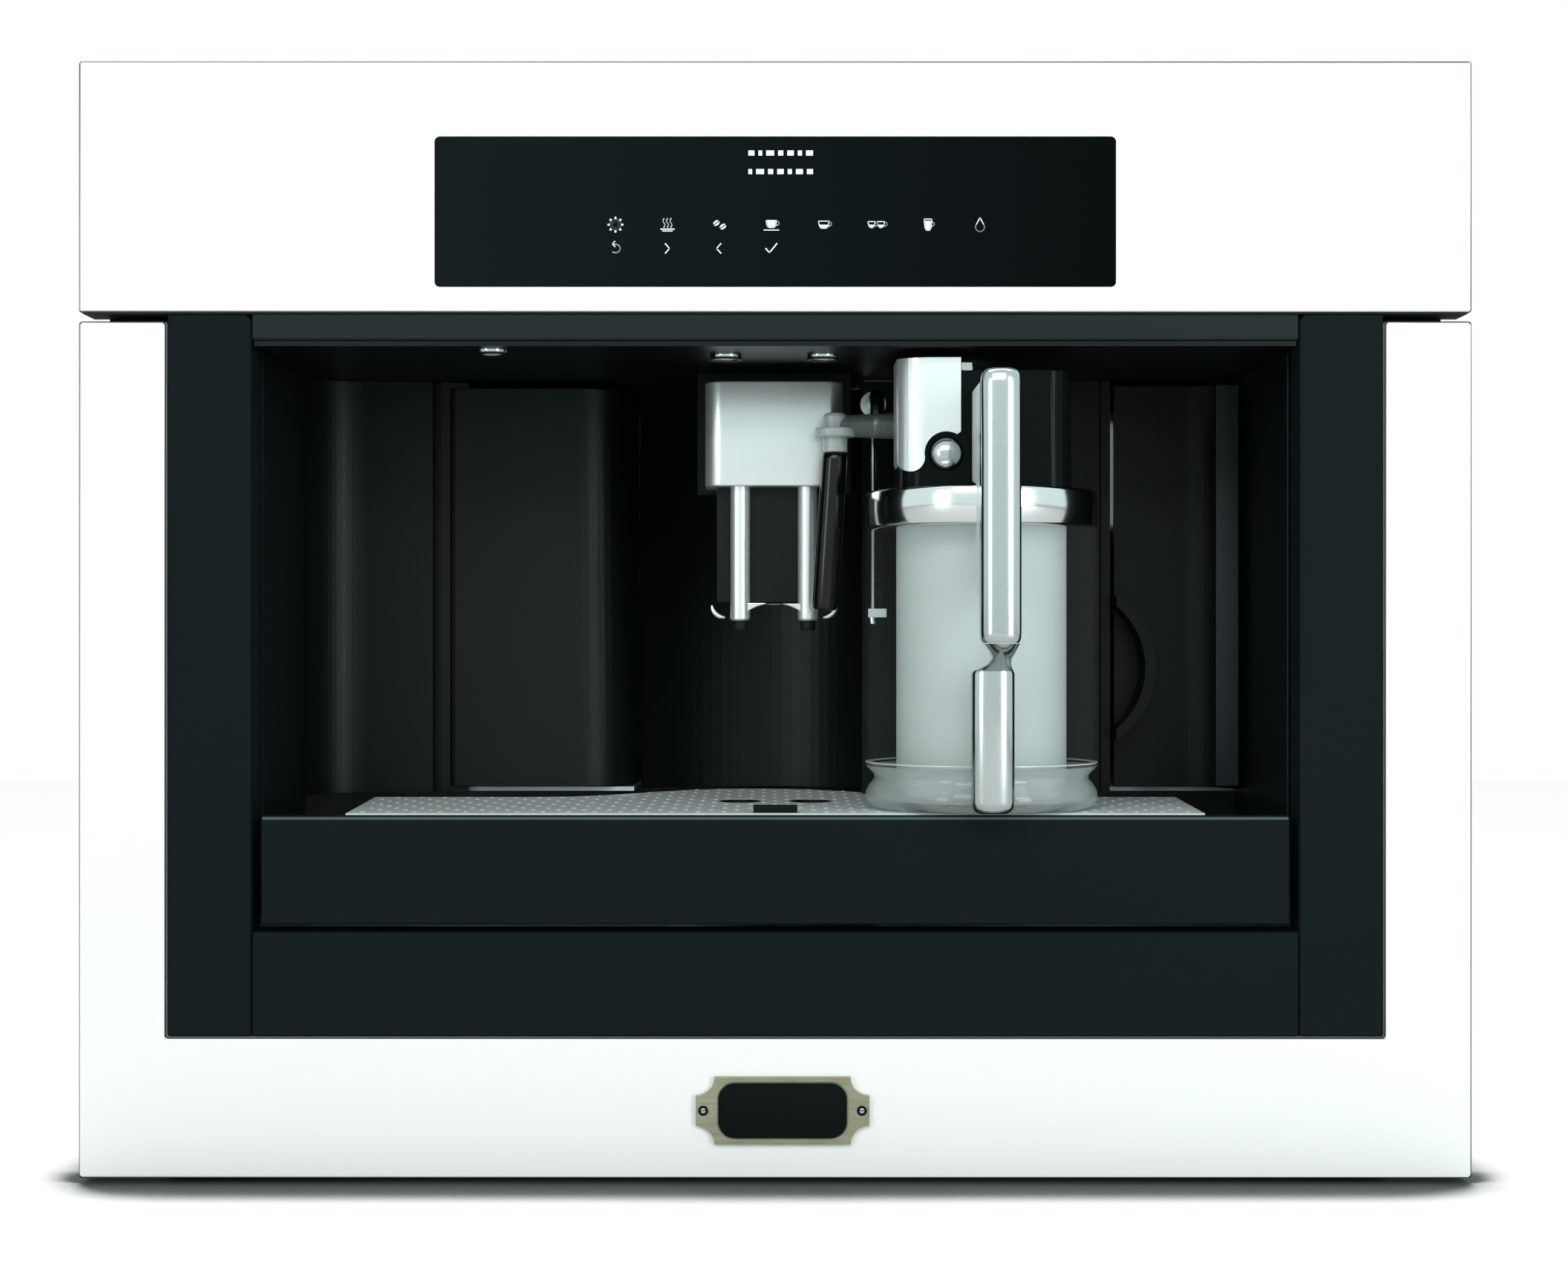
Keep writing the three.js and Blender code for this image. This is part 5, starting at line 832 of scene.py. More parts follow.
# %% Outlet tubes, lip and tips
outlet = Box("spout_tubes")
TUBE_RADIUS = 4.6
TUBE_SPACING = 31.1
TIP_LENGTH = 4.6
LIP_TOP = 249
LIP_HALF = 29.7
tube_y = outlet.y0 + TUBE_RADIUS
tube_low = outlet.z0 + TIP_LENGTH
tubes = []
tips = []
for side in (-1, 1):
    tube_x = outlet.x + side * TUBE_SPACING / 2
    tubes.append(lathe([
        (0, outlet.z1), (TUBE_RADIUS, outlet.z1), (TUBE_RADIUS, tube_low + 0.8),
        (TUBE_RADIUS - 0.6, tube_low), (0, tube_low),
    ], tube_x, tube_y))
    tips.append(lathe([
        (0, tube_low - 0.1), (3.4, tube_low - 0.1), (3.4, outlet.z0 + 0.7),
        (2.9, outlet.z0), (2.1, outlet.z0), (2.1, outlet.z0 + 2), (0, outlet.z0 + 2),
    ], tube_x, tube_y, 32))
ARCH_RISE = 6
arch = []
for i in range(21):
    share = i / 10 - 1
    arch.append((outlet.x + share * TUBE_SPACING / 2,
                 tube_low + 2 + ARCH_RISE * (1 - share ** 2)))
lip_corners = [(arch[0][0] - 3, LIP_TOP), (arch[0][0] - 3, arch[0][1] + 2)]
lip_corners += arch
lip_corners += [(arch[-1][0] + 3, arch[-1][1] + 2), (arch[-1][0] + 3, LIP_TOP)]
HORN_GIRTH = [0.5, 0.8, 1.0, 1.1, 1.1, 1.1, 1.0, 0.8, 0.5]
horns = []
for side in (-1, 1):
    tip_x = outlet.x + side * (LIP_HALF - 1)
    sweep = [(tip_x + side * (6 * math.cos(a) - 6), tube_y + 5, LIP_TOP - 1 - 5.5 * math.sin(a))
             for a in (math.pi / 2 * i / 8 for i in range(9))]
    horns.append(pipe(sweep, HORN_GIRTH, 12))
lip = slab(lip_corners, tube_y - 3, outlet.y1, 0.25, "Y", 2)
settle(piece("chrome_tubes", joined(*tubes, lip, *horns), satin_chrome),
       "spout_tubes", "chrome", "spout_tubes")
settle(piece("rubber_tips", joined(*tips), black_rubber), "spout_tubes", "black_rubber")
print("outlet tubes at", round(tube_y, 1))

# %% [markdown]
# ## Hot-water spout
# A thin bright tube comes out of the wall in a grey elbow and drops beside the coffee spout.
# A small ribbed sleeve hangs next to it. Its ribs repeat, so Geometry Nodes lays them along
# a line of points: change the count or the pitch and the sleeve follows.
# %% A Geometry Nodes pattern
def spread(name, stamp, points, finish, seed=0, spin=0.0):
    """Puts a small form on every point with Geometry Nodes, each spun at random about Z."""
    stamp_piece = piece(f"{name}_stamp", stamp, finish)
    holder = bpy.data.meshes.new(f"{name}_points")
    holder.from_pydata([tuple(v * MM for v in point) for point in points], [], [])
    carrier = bpy.data.objects.new(f"{name}_points", holder)
    bpy.context.collection.objects.link(carrier)
    tree = bpy.data.node_groups.new(f"{name}_nodes", "GeometryNodeTree")
    face = tree.interface
    face.new_socket("Geometry", in_out="INPUT", socket_type="NodeSocketGeometry")
    stamp_socket = face.new_socket("Stamp", in_out="INPUT", socket_type="NodeSocketObject")
    spin_socket = face.new_socket("Spin", in_out="INPUT", socket_type="NodeSocketFloat")
    seed_socket = face.new_socket("Seed", in_out="INPUT", socket_type="NodeSocketInt")
    finish_socket = face.new_socket("Finish", in_out="INPUT", socket_type="NodeSocketMaterial")
    face.new_socket("Geometry", in_out="OUTPUT", socket_type="NodeSocketGeometry")
    enter = tree.nodes.new("NodeGroupInput")
    leave = tree.nodes.new("NodeGroupOutput")
    info = tree.nodes.new("GeometryNodeObjectInfo")
    info.inputs["As Instance"].default_value = True
    chance = tree.nodes.new("FunctionNodeRandomValue")
    chance.data_type = "FLOAT"
    turn = tree.nodes.new("ShaderNodeCombineXYZ")
    place = tree.nodes.new("GeometryNodeInstanceOnPoints")
    real = tree.nodes.new("GeometryNodeRealizeInstances")
    paint = tree.nodes.new("GeometryNodeSetMaterial")
    link = tree.links.new
    link(enter.outputs["Stamp"], info.inputs["Object"])
    link(enter.outputs["Spin"], chance.inputs[3])
    link(enter.outputs["Seed"], chance.inputs["Seed"])
    link(chance.outputs[1], turn.inputs["Z"])
    link(enter.outputs["Geometry"], place.inputs["Points"])
    link(info.outputs["Geometry"], place.inputs["Instance"])
    link(turn.outputs[0], place.inputs["Rotation"])
    link(place.outputs[0], real.inputs[0])
    link(real.outputs[0], paint.inputs["Geometry"])
    link(enter.outputs["Finish"], paint.inputs["Material"])
    link(paint.outputs[0], leave.inputs[0])
    pattern = carrier.modifiers.new("pattern", "NODES")
    pattern.node_group = tree
    pattern[stamp_socket.identifier] = stamp_piece
    pattern[spin_socket.identifier] = spin
    pattern[seed_socket.identifier] = seed
    pattern[finish_socket.identifier] = finish
    done = carrier.evaluated_get(bpy.context.evaluated_depsgraph_get())
    mesh = bpy.data.meshes.new_from_object(done)
    finished(mesh)
    made = bpy.data.objects.new(name, mesh)
    bpy.context.collection.objects.link(made)
    for leftover in (carrier, stamp_piece):
        bpy.data.objects.remove(leftover)
    print(name, len(points), "copies,", len(mesh.polygons), "faces")
    return made


# %% Hot-water spout
softened("water_spout", chrome, "chrome", 0.25)
sleeve = Box("water_spout_sleeve")
RIB_COUNT = 10
rib_pitch = (sleeve.z1 - sleeve.z0) / RIB_COUNT
rib_radius = (sleeve.x1 - sleeve.x0) / 2
rib = shell_of([(0.7, 0.05), (rib_radius - 0.5, 0.05), (rib_radius - 0.02, 0.5),
                (rib_radius - 0.02, 1.2), (rib_radius - 0.5, 1.7), (rib_radius - 0.5, 2.0),
                (0.7, 2.0)], 0, 0, 16)
rib_points = [(sleeve.x, sleeve.y, sleeve.z0 + i * rib_pitch) for i in range(RIB_COUNT)]
settle(spread("ribbed_sleeve", rib, rib_points, black_rubber),
       "water_spout_sleeve", "black_rubber", "water_spout_sleeve")
softened("steam_nozzle", brushed_steel, "brushed_steel", 0.4)

# %% [markdown]
# ## Cup grid
# The grid is a steel sheet with rows of pressed dimples. Seen at a grazing angle each dimple
# is a pale dot, and the rows are staggered. One low dome of a few faces is enough, placed on
# every point of the rows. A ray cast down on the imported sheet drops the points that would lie
# over a hole or past the edge.
# %% Cup grid and dimples
softened("cup_grid", grid_steel, "brushed_steel", 0.3)
grid = Box("cup_grid")
DIMPLE_RADIUS = 1.5
DIMPLE_RISE = 0.5
DIMPLE_PITCH = 11.2
ROW_PITCH = 12.5
ROW_COUNT = 15
FIRST_ROW = 9
RAY_RISE = 5
dimple = lathe([(0, -0.3), (DIMPLE_RADIUS, -0.3), (DIMPLE_RADIUS, 0.0),
                (DIMPLE_RADIUS * 0.6, DIMPLE_RISE * 0.7), (0, DIMPLE_RISE)], 0, 0, 8)


def on_sheet(x, y, margin=3.0):
    """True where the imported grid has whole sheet, a margin round the point included."""
    around = ((0, 0), (margin, 0), (-margin, 0), (0, margin), (0, -margin))
    down = Vector((0, 0, -1))
    for dx, dy in around:
        start = Vector(((x + dx) * MM, (y + dy) * MM, (grid.z1 + RAY_RISE) * MM))
        if sheet_tree.ray_cast(start, down, (RAY_RISE + 1) * MM)[0] is None:
            return False
    return True


sheet_mesh = frame["nodes"]["cup_grid"].data
sheet_tree = BVHTree.FromPolygons([point.co for point in sheet_mesh.vertices],
                                  [tuple(face.vertices) for face in sheet_mesh.polygons])
dimple_points = []
steps_each_way = int(grid.x1 / DIMPLE_PITCH)
for row in range(ROW_COUNT):
    y = grid.y0 + FIRST_ROW + row * ROW_PITCH
    shift = DIMPLE_PITCH / 2 if row % 2 else 0
    for step in range(-steps_each_way, steps_each_way + 1):
        x = step * DIMPLE_PITCH + shift
        if on_sheet(x, y):
            dimple_points.append((x, y, grid.z1))
dimples = spread("grid_dimples", dimple, dimple_points, grid_steel, seed=3, spin=1.5)
settle(dimples, "cup_grid", "brushed_steel")

# %% [markdown]
# Two oval holes let the drips through. Their cut edge is dark in the photograph, where it lies
# in shade, so a thin black band of painted shade lines each, a hair smaller than the hole.
# %% Painted shade in the drip holes
HOLE_SPACING = 32.9
HOLE_DEPTH = 95
HOLE_HALF = 10.2
HOLE_HALF_DEPTH = 14
HOLE_FIT = 0.992
SHADE_BAND_WIDTH = 0.7
HOLE_STEPS = 56
hole_y = fascia.y0 + HOLE_DEPTH
hole_angles = [math.tau * i / HOLE_STEPS for i in range(HOLE_STEPS)]
hole_shade_bands = []
for side in (-1, 1):
    hole_x = side * HOLE_SPACING / 2
    oval = [(hole_x + HOLE_HALF * math.cos(a) * HOLE_FIT,
             hole_y + HOLE_HALF_DEPTH * math.sin(a) * HOLE_FIT) for a in hole_angles]
    inner = shrunk(oval, SHADE_BAND_WIDTH)
    under, over = grid.z0 - 0.2, grid.z1 - 0.12
    levels = ((oval, under), (oval, over), (inner, over), (inner, under))
    hole_shade_bands.append(hoop([[(x, y, z) for x, y in outline] for outline, z in levels]))
# Painted shade: the bands are black where the holes' cut edges lie in shade.
settle(piece("hole_linings", joined(*hole_shade_bands), black_rubber), "cup_grid", "black_rubber")
print("two drip holes lined")

# %% [markdown]
# ## Milk jug body
# The jug is three vases in one another: a clear outer shell with a thick flared base, a
# frosted inner vessel, and a chrome collar that joins them. Each is a profile of radius and
# height spun round the jug's own axis.
# %% Milk jug body
jug = Box("jug_shell")
JUG_RADIUS = 51.6
WAIST = 4
BASE_HEIGHT = 19
foot_z = jug.z0


def at_height(profile):
    """A profile with its heights counted from the jug's foot."""
    return [(radius, foot_z + z) for radius, z in profile]


collar = Box("jug_collar")
base_profile = at_height([
    (0, 0), (JUG_RADIUS - 6, 0), (JUG_RADIUS - 3, 0.6), (JUG_RADIUS - 1, 2.2),
    (JUG_RADIUS, 4.6), (JUG_RADIUS - 0.3, 7.4), (JUG_RADIUS - 1.8, 10.4),
    (JUG_RADIUS - WAIST, 13), (JUG_RADIUS - WAIST, 15), (JUG_RADIUS - 1.6, 17.4),
    (JUG_RADIUS, BASE_HEIGHT), (JUG_RADIUS - 2, BASE_HEIGHT),
    (JUG_RADIUS - WAIST - 2, 15.5), (JUG_RADIUS - WAIST - 2, 13), (JUG_RADIUS - 3, 9),
    (JUG_RADIUS - 5, 4.0), (0, 4.0),
])
settle(piece("clear_foot", lathe(base_profile, jug.x, jug.y, 96), clear_base, 60),
       "jug_shell", "clear_plastic", "jug_shell")
wall_foot = foot_z + BASE_HEIGHT + 0.1
wall_profile = [(JUG_RADIUS - 2, wall_foot), (JUG_RADIUS, wall_foot),
                (JUG_RADIUS, jug.z1), (JUG_RADIUS - 2, jug.z1)]
settle(piece("clear_wall", shell_of(wall_profile, jug.x, jug.y, 96), clear_plastic, 60),
       "jug_shell", "clear_plastic")
RIM_Z = BASE_HEIGHT + 1.4
rim_profile = at_height([
    (JUG_RADIUS - 2.3, RIM_Z - 0.35), (JUG_RADIUS - 0.05, RIM_Z - 0.2),
    (JUG_RADIUS - 0.05, RIM_Z + 0.2), (JUG_RADIUS - 2.3, RIM_Z + 0.35),
])
settle(piece("clear_rim", shell_of(rim_profile, jug.x, jug.y, 96), clear_rim, 60),
       "jug_shell", "clear_plastic")
vessel = Box("jug_vessel")
VESSEL_RADIUS = 37.7
vessel_profile = [
    (0, vessel.z0), (VESSEL_RADIUS - 6, vessel.z0), (VESSEL_RADIUS - 3, vessel.z0 + 0.8),
    (VESSEL_RADIUS - 1, vessel.z0 + 4), (VESSEL_RADIUS, vessel.z0 + 8), (VESSEL_RADIUS, vessel.z1),
    (VESSEL_RADIUS - 2, vessel.z1), (VESSEL_RADIUS - 2, vessel.z0 + 11),
    (VESSEL_RADIUS - 5, vessel.z0 + 3), (0, vessel.z0 + 3),
]
settle(piece("frosted_vessel", lathe(vessel_profile, vessel.x, vessel.y, 96), frosted_plastic, 60),
       "jug_vessel", "frosted_plastic", "jug_vessel")
collar_profile = [
    (VESSEL_RADIUS + 0.3, collar.z0), (JUG_RADIUS - 0.7, collar.z0), (JUG_RADIUS, collar.z0 + 0.7),
    (JUG_RADIUS, collar.z1 - 1.2), (JUG_RADIUS - 0.4, collar.z1 - 0.3),
    (JUG_RADIUS - 1.2, collar.z1), (VESSEL_RADIUS + 0.3, collar.z1),
]
settle(piece("chrome_collar", shell_of(collar_profile, jug.x, jug.y, 96), bright_chrome, 50),
       "jug_collar", "chrome", "jug_collar")
print("jug body", round(jug.z1 - jug.z0, 1), "mm high")

# %% [markdown]
# ## Lid and its cover
# The lid keeps its solid, with softened edges, because the steam socket and the intake tube
# are part of it. The chrome cover is a curved sheet that hugs the lid's front corner. Its
# lower edge is scooped out round a domed button.
# %% Lid, cover, button and slider
softened("jug_lid", lid_black, "black_plastic", 0.7)
softened("lid_cover", satin_chrome, "chrome", 0.25)
button = Box("clean_button")
BUTTON_STEPS = 7
button_radius = (button.x1 - button.x0) / 2
button_profile = [(0, 0), (button_radius - 0.3, 0), (button_radius, 0.3), (button_radius, 2.6)]
button_rise = button.y1 - button.y0 - 3
for step in range(1, BUTTON_STEPS + 1):
    a = math.pi / 2 * step / BUTTON_STEPS
    radius = button_radius * math.cos(a) if step < BUTTON_STEPS else 0
    button_profile.append((radius, 2.8 + (button_rise + 0.2) * math.sin(a)))
dome_points, dome_faces = lathe(button_profile, 0, 0, 48)
dome = ([(x + button.x, button.y1 - z, y + button.z) for x, y, z in dome_points], dome_faces)
settle(piece("domed_button", dome, chrome), "clean_button", "chrome", "clean_button")
softened("froth_slider", chrome, "chrome", 0.4)
print("button radius", round(button_radius, 2))

# %% [markdown]
# ## Handle
# The upper bar is a tall chrome strip with a rounded front and top. Behind it sits a pale
# grip. Below, the chrome twists inward through a narrow neck to the lower bar, which follows
# the glass down to the foot. The neck and lower bar are one loft: a stack of cross-sections
# that move, turn and shrink from one height to the next.
# %% Handle
bar = Box("handle_upper")
BAR_SIDES = 16
BAR_BELLY = 5.0
bar_levels = [(bar.z0, 0.9), (bar.z0 + 1.5, 0.2), (bar.z0 + 4, 0.0), (bar.z1 - 6, 0.0),
              (bar.z1 - 3, 0.35), (bar.z1 - 1.2, 1.1), (bar.z1 - 0.3, 2.3), (bar.z1, 3.6)]


def bar_section(x0, x1, y0, y1, z, inset):
    """A cross-section with a domed front and a flat back."""
    half, middle = (x1 - x0) / 2 - inset, (x0 + x1) / 2
    front, back = y0 + inset, y1 - min(inset, 1)
    angles = [math.pi * i / BAR_SIDES for i in range(BAR_SIDES + 1)]
    points = [(middle - half * math.cos(a), front + BAR_BELLY - BAR_BELLY * math.sin(a))
              for a in angles]
    points += [(middle + half, back - 0.8), (middle + half - 0.8, back),
               (middle - half + 0.8, back), (middle - half, back - 0.8)]
    return [(x, y, z) for x, y in points]


bar_rings = [bar_section(bar.x0, bar.x1, bar.y0, bar.y1, z, inset) for z, inset in bar_levels]
settle(piece("handle_bar", stack(bar_rings), chrome, 45), "handle_upper", "chrome", "handle_upper")
softened("handle_body", pale_plastic, "pale_plastic", 1.1, 3)

low = Box("handle_lower")
FOOT_FRONT = low.y0 + 22
FOOT_BACK = low.y0 + 35.5
NECK_BOTTOM = 60
# Each level: height, inset, share of the forward lean, left edge, right edge.
low_levels = [
    (0, 3.2, 0, low.x0, low.x1), (0.7, 1.5, 0, low.x0, low.x1), (2.5, 0.4, 0, low.x0, low.x1),
    (5, 0, 0, low.x0, low.x1), (NECK_BOTTOM - 1, 0, 0, low.x0, low.x1),
    (NECK_BOTTOM, 0.4, 0.02, low.x0, low.x1),
    (NECK_BOTTOM + 1, 0, 0.12, low.x0 + 3.0, low.x1 - 1.2),
    (NECK_BOTTOM + 3, 0, 0.35, low.x0 + 6.2, low.x1 - 2.2),
    (NECK_BOTTOM + 5.5, 0, 0.62, low.x0 + 7.4, low.x1 - 2.4),
    (NECK_BOTTOM + 8.5, 0, 0.88, low.x0 + 5.4, low.x1 - 1.2),
    (low.z1 - low.z0, 0, 1.0, low.x0 + 3.2, low.x1),
]
low_rings = []
for height, inset, lean, left, right in low_levels:
    lean_y = (low.y0 + 0.3 - FOOT_FRONT) * lean
    front, back = FOOT_FRONT + lean_y, FOOT_BACK + lean_y - lean * 1.5
    low_rings.append(bar_section(left, right, front, back, low.z0 + height, inset))
settle(piece("handle_foot", stack(low_rings), chrome, 45), "handle_lower", "chrome", "handle_lower")
print("handle bars", len(bar_rings), "and", len(low_rings), "sections")

# %% [markdown]
# ## Milk spout
# A translucent arm reaches out of the lid and holds a swivelling black outlet tube. The arm
# is a tapered pipe along X. Its paler cap, collar and neck are turned discs on the tube's axis.
# %% Milk spout
arm = Box("milk_spout_arm")
COLLAR_RADIUS = 9.3
NECK_RADIUS = 5.9
pivot_x = arm.x0 + COLLAR_RADIUS
pivot_y = arm.y
PIVOT_BELOW_TOP = 5.9
pivot_z = arm.z1 - PIVOT_BELOW_TOP
reach = arm.x1 - pivot_x
arm_bar = pipe([(pivot_x - 0.5, pivot_y, pivot_z), (pivot_x + reach * 0.5, pivot_y, pivot_z),
                (arm.x1, pivot_y, pivot_z)], [4.8, 5.3, 5.85], 32)
cap = lathe([(0, pivot_z - 3), (5.2, pivot_z - 3), (5.4, arm.z1 - 1.6), (4.6, arm.z1 - 0.4),
             (3.4, arm.z1), (0, arm.z1)], pivot_x, pivot_y, 40)
swivel = lathe([
    (0, pivot_z - 5), (COLLAR_RADIUS - 0.5, pivot_z - 5), (COLLAR_RADIUS, pivot_z - 4.4),
    (COLLAR_RADIUS, pivot_z - 1.7), (COLLAR_RADIUS - 0.6, pivot_z - 1), (0, pivot_z - 1),
], pivot_x, pivot_y, 48)
neck = lathe([(0, arm.z0), (NECK_RADIUS - 0.3, arm.z0), (NECK_RADIUS - 0.3, pivot_z - 4),
              (0, pivot_z - 4)], pivot_x, pivot_y, 40)
settle(piece("milk_arm", arm_bar, dim_plastic), "milk_spout_arm", "frosted_plastic",
       "milk_spout_arm")
settle(piece("milk_cap", joined(cap, swivel, neck), milky_plastic), "milk_spout_arm",
       "frosted_plastic")
outlet_tube = Box("milk_spout_tube")
TUBE_TILT = 0.066
TUBE_LENGTH = 71
lean_x, lean_z = -math.sin(TUBE_TILT), -math.cos(TUBE_TILT)
tube_head = (outlet_tube.x1 - NECK_RADIUS, outlet_tube.y, outlet_tube.z1 - 0.45)
run = [0, 1, 3, 30, TUBE_LENGTH - 3, TUBE_LENGTH - 1, TUBE_LENGTH - 0.4]
girth = [NECK_RADIUS - less for less in (0.7, 0.1, 0, 0, 0.1, 0.6, 1.4)]
tube_path = [(tube_head[0] + lean_x * at, tube_head[1], tube_head[2] + lean_z * at)
             for at in run]
settle(piece("milk_tube", pipe(tube_path, girth, 40), tube_black),
       "milk_spout_tube", "smoked_plastic", "milk_spout_tube")
print("milk tube", TUBE_LENGTH, "mm")

# %% [markdown]
# ## Display icons
# The icons are thin plates of pale ink, a few hundredths of a millimetre proud of the glass.
# Each is drawn with the same helpers as the rest: outlines, rings and short bars. They show
# only generic signs, such as cups, beans, a drop and arrows.
# %% Icon helpers
INK_HEIGHT = 0.05
ink_back = glass.y0 + 0.02
PX = 0.3169
MIDDLE_PX = (1044.25, 870)


def at_pixel(px, py):
    """A place on the front, from a place in the photograph. PX is millimetres to the pixel."""
    return (px - MIDDLE_PX[0]) * PX, VIEW_HEIGHT + (MIDDLE_PX[1] - py) * PX


def plate_of(outline):
    """A flat plate of ink from an outline in X and Z."""
    return slab(outline, ink_back - INK_HEIGHT, ink_back, 0, "Y")


def stroke(path, width=0.45):
    """A line of ink with square ends, made of one plate for each straight run."""
    forms = []
    for a, b in zip(path, path[1:]):
        along = (Vector(b) - Vector(a))
        across = Vector((-along.y, along.x)).normalized() * width / 2
        tip = along.normalized() * width / 2
        first, last = Vector(a) - tip, Vector(b) + tip
        corners = [first - across, last - across, last + across, first + across]
        forms.append(plate_of([(c.x, c.y) for c in corners]))
    return forms


def arc(x, y, rx, ry, start, end, steps=10):
    """Points on part of an ellipse, angles in degrees."""
    angles = [math.radians(start + (end - start) * i / steps) for i in range(steps + 1)]
    return [(x + rx * math.cos(a), y + ry * math.sin(a)) for a in angles]


def cup(x, z, width=4.6, height=3.0, fill=0.0):
    """A cup seen from the side, with an ear, and filled up to a share of its height."""
    half, rise = width / 2, height / 2
    forms = stroke([(x - half, z + rise), (x - half + 0.5, z - rise + 0.6),
                    (x - half + 1.1, z - rise), (x + half - 1.1, z - rise),
                    (x + half - 0.5, z - rise + 0.6), (x + half, z + rise),
                    (x - half, z + rise)], 0.36)
    forms += stroke(arc(x + half - 0.1, z + 0.3, 1.1, 0.9, -80, 80, 6), 0.32)
    if fill > 0:
        bottom, top = z - rise + 0.3, z - rise + height * fill
        forms.append(plate_of([(x - half + 0.8, bottom), (x + half - 0.8, bottom),
                               (x + half - 0.45, top), (x - half + 0.45, top)]))
    return forms


def bean(x, z, turn):
    """A coffee bean: an oval with its crease left open."""
    halves = []
    for start in (12, 192):
        outline = arc(0, 0, 1.5, 1.05, start, start + 156, 8)
        turned = [(x + px * math.cos(turn) - pz * math.sin(turn),
                   z + px * math.sin(turn) + pz * math.cos(turn)) for px, pz in outline]
        halves.append(plate_of(turned))
    return halves


def gear(x, z, radius=2.3, teeth=8):
    """A gear wheel with a round hole, made of a ring of plates."""
    forms = []
    for i in range(teeth):
        a = math.tau * i / teeth
        tooth = [(x + reach * math.cos(a), z + reach * math.sin(a))
                 for reach in (radius, radius + 0.7)]
        forms += stroke(tooth, 0.75)
    forms += stroke(arc(x, z, radius - 0.35, radius - 0.35, 0, 360, 20), 0.85)
    return forms


print("icon helpers ready")

# %% [markdown]
# The places of the signs are read off the photograph, in its own pixels, and named. The top row
# holds the drinks and functions, the row below it the keys that move through a menu.
# %% Icons
ROW_ONE = 302.5
ROW_TWO = 334.5
GEAR_PX, STEAM_PX, BEANS_PX, SAUCER_PX = 829, 899, 969, 1039
SMALL_CUP_PX, TWO_CUPS_PX, TALL_CUP_PX, DROP_PX = 1109.6, 1179, 1250, 1320
BACK_PX, NEXT_PX, PREVIOUS_PX, TICK_PX = 829, 899, 968, 1038.6
icons = []
x, z = at_pixel(GEAR_PX, ROW_ONE)
icons += gear(x, z)
x, z = at_pixel(STEAM_PX, ROW_ONE)
icons += stroke([(x - 2.8, z - 1.9), (x + 2.8, z - 1.9)], 0.5)
icons += stroke([(x - 2.0, z - 2.7), (x + 2.0, z - 2.7)], 0.4)
for side in (-1.5, 0, 1.5):
    wave = [(x + side + 0.45 * math.sin(k * 1.05), z - 1.1 + k * 0.62) for k in range(7)]
    icons += stroke(wave, 0.36)
x, z = at_pixel(BEANS_PX, ROW_ONE)
icons += bean(x - 1.3, z + 0.7, 0.6) + bean(x + 1.5, z - 0.8, 0.6)
x, z = at_pixel(SAUCER_PX, ROW_ONE)
icons += cup(x, z + 0.3, fill=0.95) + stroke([(x - 3.1, z - 2.3), (x + 3.1, z - 2.3)], 0.4)
x, z = at_pixel(SMALL_CUP_PX, ROW_ONE)
icons += cup(x, z, fill=0.5)
x, z = at_pixel(TWO_CUPS_PX, ROW_ONE)
icons += cup(x - 1.6, z, 3.2, 2.6, 0.5) + cup(x + 2.4, z, 3.2, 2.6, 0.5)
x, z = at_pixel(TALL_CUP_PX, ROW_ONE)
icons += cup(x, z, 3.4, 4.8, 0.85)
x, z = at_pixel(DROP_PX, ROW_ONE)
drop = [(x, z + 3.0)] + arc(x, z - 1.0, 1.9, 1.9, 30, -210, 16) + [(x, z + 3.0)]
icons += stroke(drop, 0.42)
x, z = at_pixel(BACK_PX, ROW_TWO)
icons += stroke(arc(x, z, 2.0, 1.8, -120, 110, 12), 0.42)
icons += stroke([(x - 0.3, z + 3.0), (x - 1.4, z + 1.8), (x - 0.2, z + 0.8)], 0.42)
for px, way in ((NEXT_PX, 1), (PREVIOUS_PX, -1)):
    x, z = at_pixel(px, ROW_TWO)
    icons += stroke([(x - 0.9 * way, z + 2.0), (x + 0.9 * way, z), (x - 0.9 * way, z - 2.0)], 0.5)
x, z = at_pixel(TICK_PX, ROW_TWO)
icons += stroke([(x - 2.2, z - 0.1), (x - 0.7, z - 1.8), (x + 2.4, z + 2.0)], 0.55)
BAR_WIDTHS = (2.6, 1.6, 3.4, 2.2, 2.8, 1.8, 3.0)
BAR_GAP = 1.7
BAR_HALF = 1.1
BARS_LEFT_PX = 1008
BAR_ROWS_PX = (206, 231)
for row, row_px in enumerate(BAR_ROWS_PX):
    x, z = at_pixel(BARS_LEFT_PX, row_px)
    for index in range(len(BAR_WIDTHS)):
        width = BAR_WIDTHS[(index + row) % len(BAR_WIDTHS)]
        icons.append(plate_of([(x, z - BAR_HALF), (x + width, z - BAR_HALF),
                               (x + width, z + BAR_HALF), (x, z + BAR_HALF)]))
        x += width + BAR_GAP
settle(piece("display_icons", joined(*icons), icon_ink), "display_glass", "white_paint")
print(len(icons), "strokes of ink")

# %% [markdown]
# ## Name plate
# A brass plate with hollow corners holds a plain black inlay. The plate keeps its solid, with
# a softened rim. The inlay lies in it with a thin brass rim round it, and a slotted screw head
# sits in each ear.
# %% Name plate
softened("name_plate", aged_brass, "aged_brass", 0.45, 3)
plate = Box("name_plate")
INLAY_HALF = (27.9, 12.25)
INLAY_CORNER = 7.6
RIM_WIDTH = 0.45
RIM_PROUD = -0.12


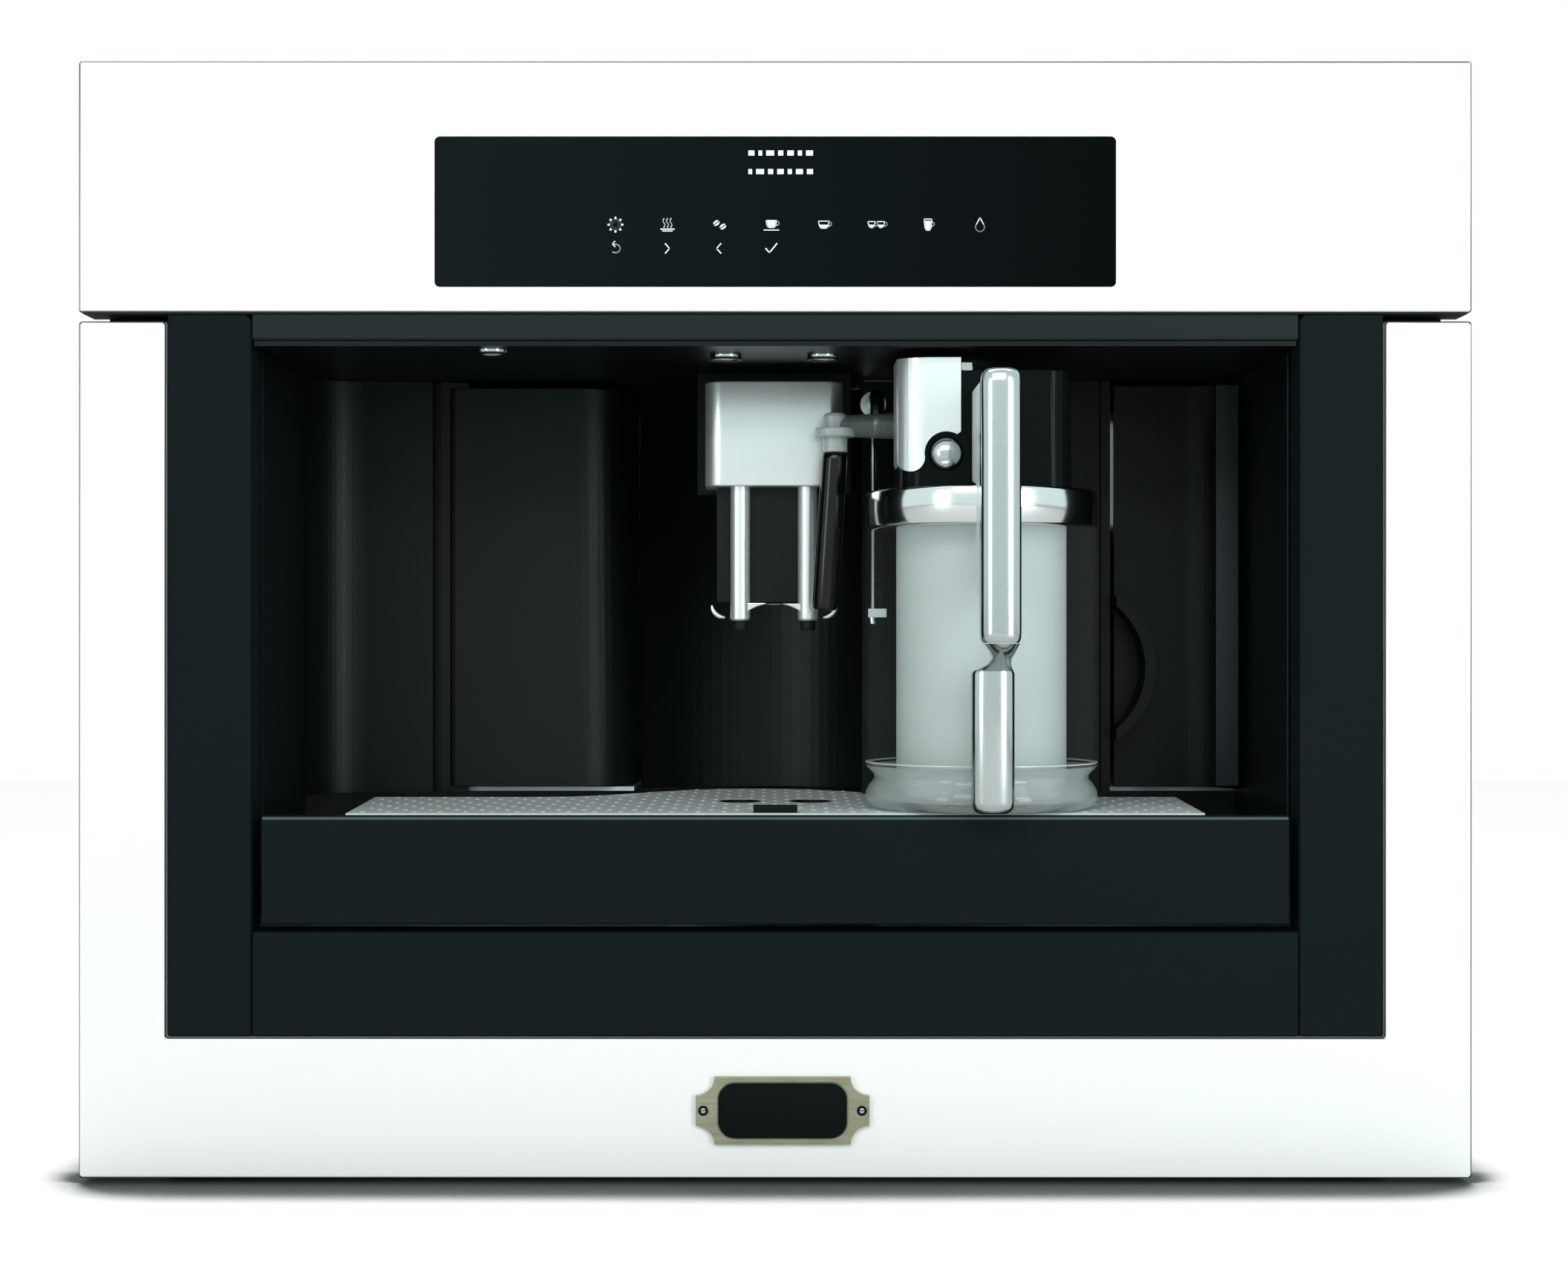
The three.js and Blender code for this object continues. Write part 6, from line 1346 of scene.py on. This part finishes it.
def centred(half_width, half_height, corner):
    """A rounded rectangle round the middle of the plate."""
    return rounded(plate.x - half_width, plate.x + half_width,
                   plate.z - half_height, plate.z + half_height, corner, 8)


inlay_plan = centred(INLAY_HALF[0] - RIM_WIDTH, INLAY_HALF[1] - RIM_WIDTH,
                     INLAY_CORNER - RIM_WIDTH)
inlay = slab(inlay_plan, plate.y0 + 0.35, plate.y0 + 0.95, 0.15, "Y")
settle(piece("plate_inlay", inlay, lid_black), "name_plate", "black_plastic")
outer = centred(INLAY_HALF[0] - 0.05, INLAY_HALF[1] - 0.05, INLAY_CORNER - 0.05)
inner = shrunk(outer, RIM_WIDTH)
rim_levels = [
    (outer, plate.y0 + 0.9), (outer, plate.y0 + 0.25),
    (shrunk(outer, 0.15), plate.y0 + RIM_PROUD),
    (shrunk(outer, RIM_WIDTH - 0.1), plate.y0 + RIM_PROUD),
    (inner, plate.y0 + 0.25), (inner, plate.y0 + 0.9),
]
rim = hoop([[(x, at, z) for x, z in outline] for outline, at in rim_levels])
settle(piece("plate_rim", rim, aged_brass), "name_plate", "aged_brass")
print("plate", round(plate.x1 - plate.x0, 1), "mm wide")

# %% Slotted screws
SCREW_INSET = 3.2
SCREW_RADIUS = 1.05
RECESS_RADIUS = 2.2
SLOT_HALF = 0.2


def half_head(side, x, z, turn):
    """Half a screw head: what is left on one side of the slot."""
    start = math.asin(SLOT_HALF / SCREW_RADIUS)
    angles = [start + (math.pi - 2 * start) * i / 12 for i in range(13)]
    outline = []
    for a in angles:
        px, pz = SCREW_RADIUS * math.cos(a), SCREW_RADIUS * math.sin(a) * side
        outline.append((x + px * math.cos(turn) - pz * math.sin(turn),
                        z + px * math.sin(turn) + pz * math.cos(turn)))
    return slab(outline, plate.y0 - 0.35, plate.y0 + 0.2, 0.12, "Y")


heads = []
recess_shade_discs = []
for side, turn in ((-1, 0.1), (1, -0.05)):
    screw_x = plate.x + side * ((plate.x1 - plate.x0) / 2 - SCREW_INSET)
    heads += [half_head(half, screw_x, plate.z, turn) for half in (1, -1)]
    recess_plan = ring(screw_x, plate.z, RECESS_RADIUS, 32)
    recess_shade_discs.append(slab(recess_plan, plate.y0 - 0.06, plate.y0 + 0.2, 0.03, "Y"))
# Painted shade: a black disc round each screw stands for the shade in the recess round its head.
settle(piece("screw_recesses", joined(*recess_shade_discs), black_plastic), "name_plate", "black_plastic")
settle(piece("plate_screws", joined(*heads), brushed_steel), "name_plate", "brushed_steel")
print("screws in the plate")

# %% [markdown]
# ## Casing screws
# The casing is held by small domed screws along its edges. Geometry Nodes puts one on every
# point and turns each by a random angle from a fixed seed, as a fitter would leave them.
# %% Casing screws
CASING_SCREW_RADIUS = 3.2
top_sheet = Box("top_cover")
domed_head = lathe([
    (0, -0.2), (CASING_SCREW_RADIUS, -0.2), (CASING_SCREW_RADIUS, 0.5),
    (CASING_SCREW_RADIUS * 0.8, 1.1), (CASING_SCREW_RADIUS * 0.35, 1.4), (0, 1.4),
], 0, 0, 12)
SCREW_MARGIN = 8
screw_points = []
for x in (top_sheet.x0 + SCREW_MARGIN, top_sheet.x1 - SCREW_MARGIN):
    for share in (0.08, 0.36, 0.64, 0.92):
        y = top_sheet.y0 + (top_sheet.y1 - top_sheet.y0) * share
        screw_points.append((x, y, top_sheet.z1))
casing_screws = spread("casing_screws", domed_head, screw_points, brushed_steel, seed=11, spin=6.28)
settle(casing_screws, "top_cover", "galvanised_sheet")
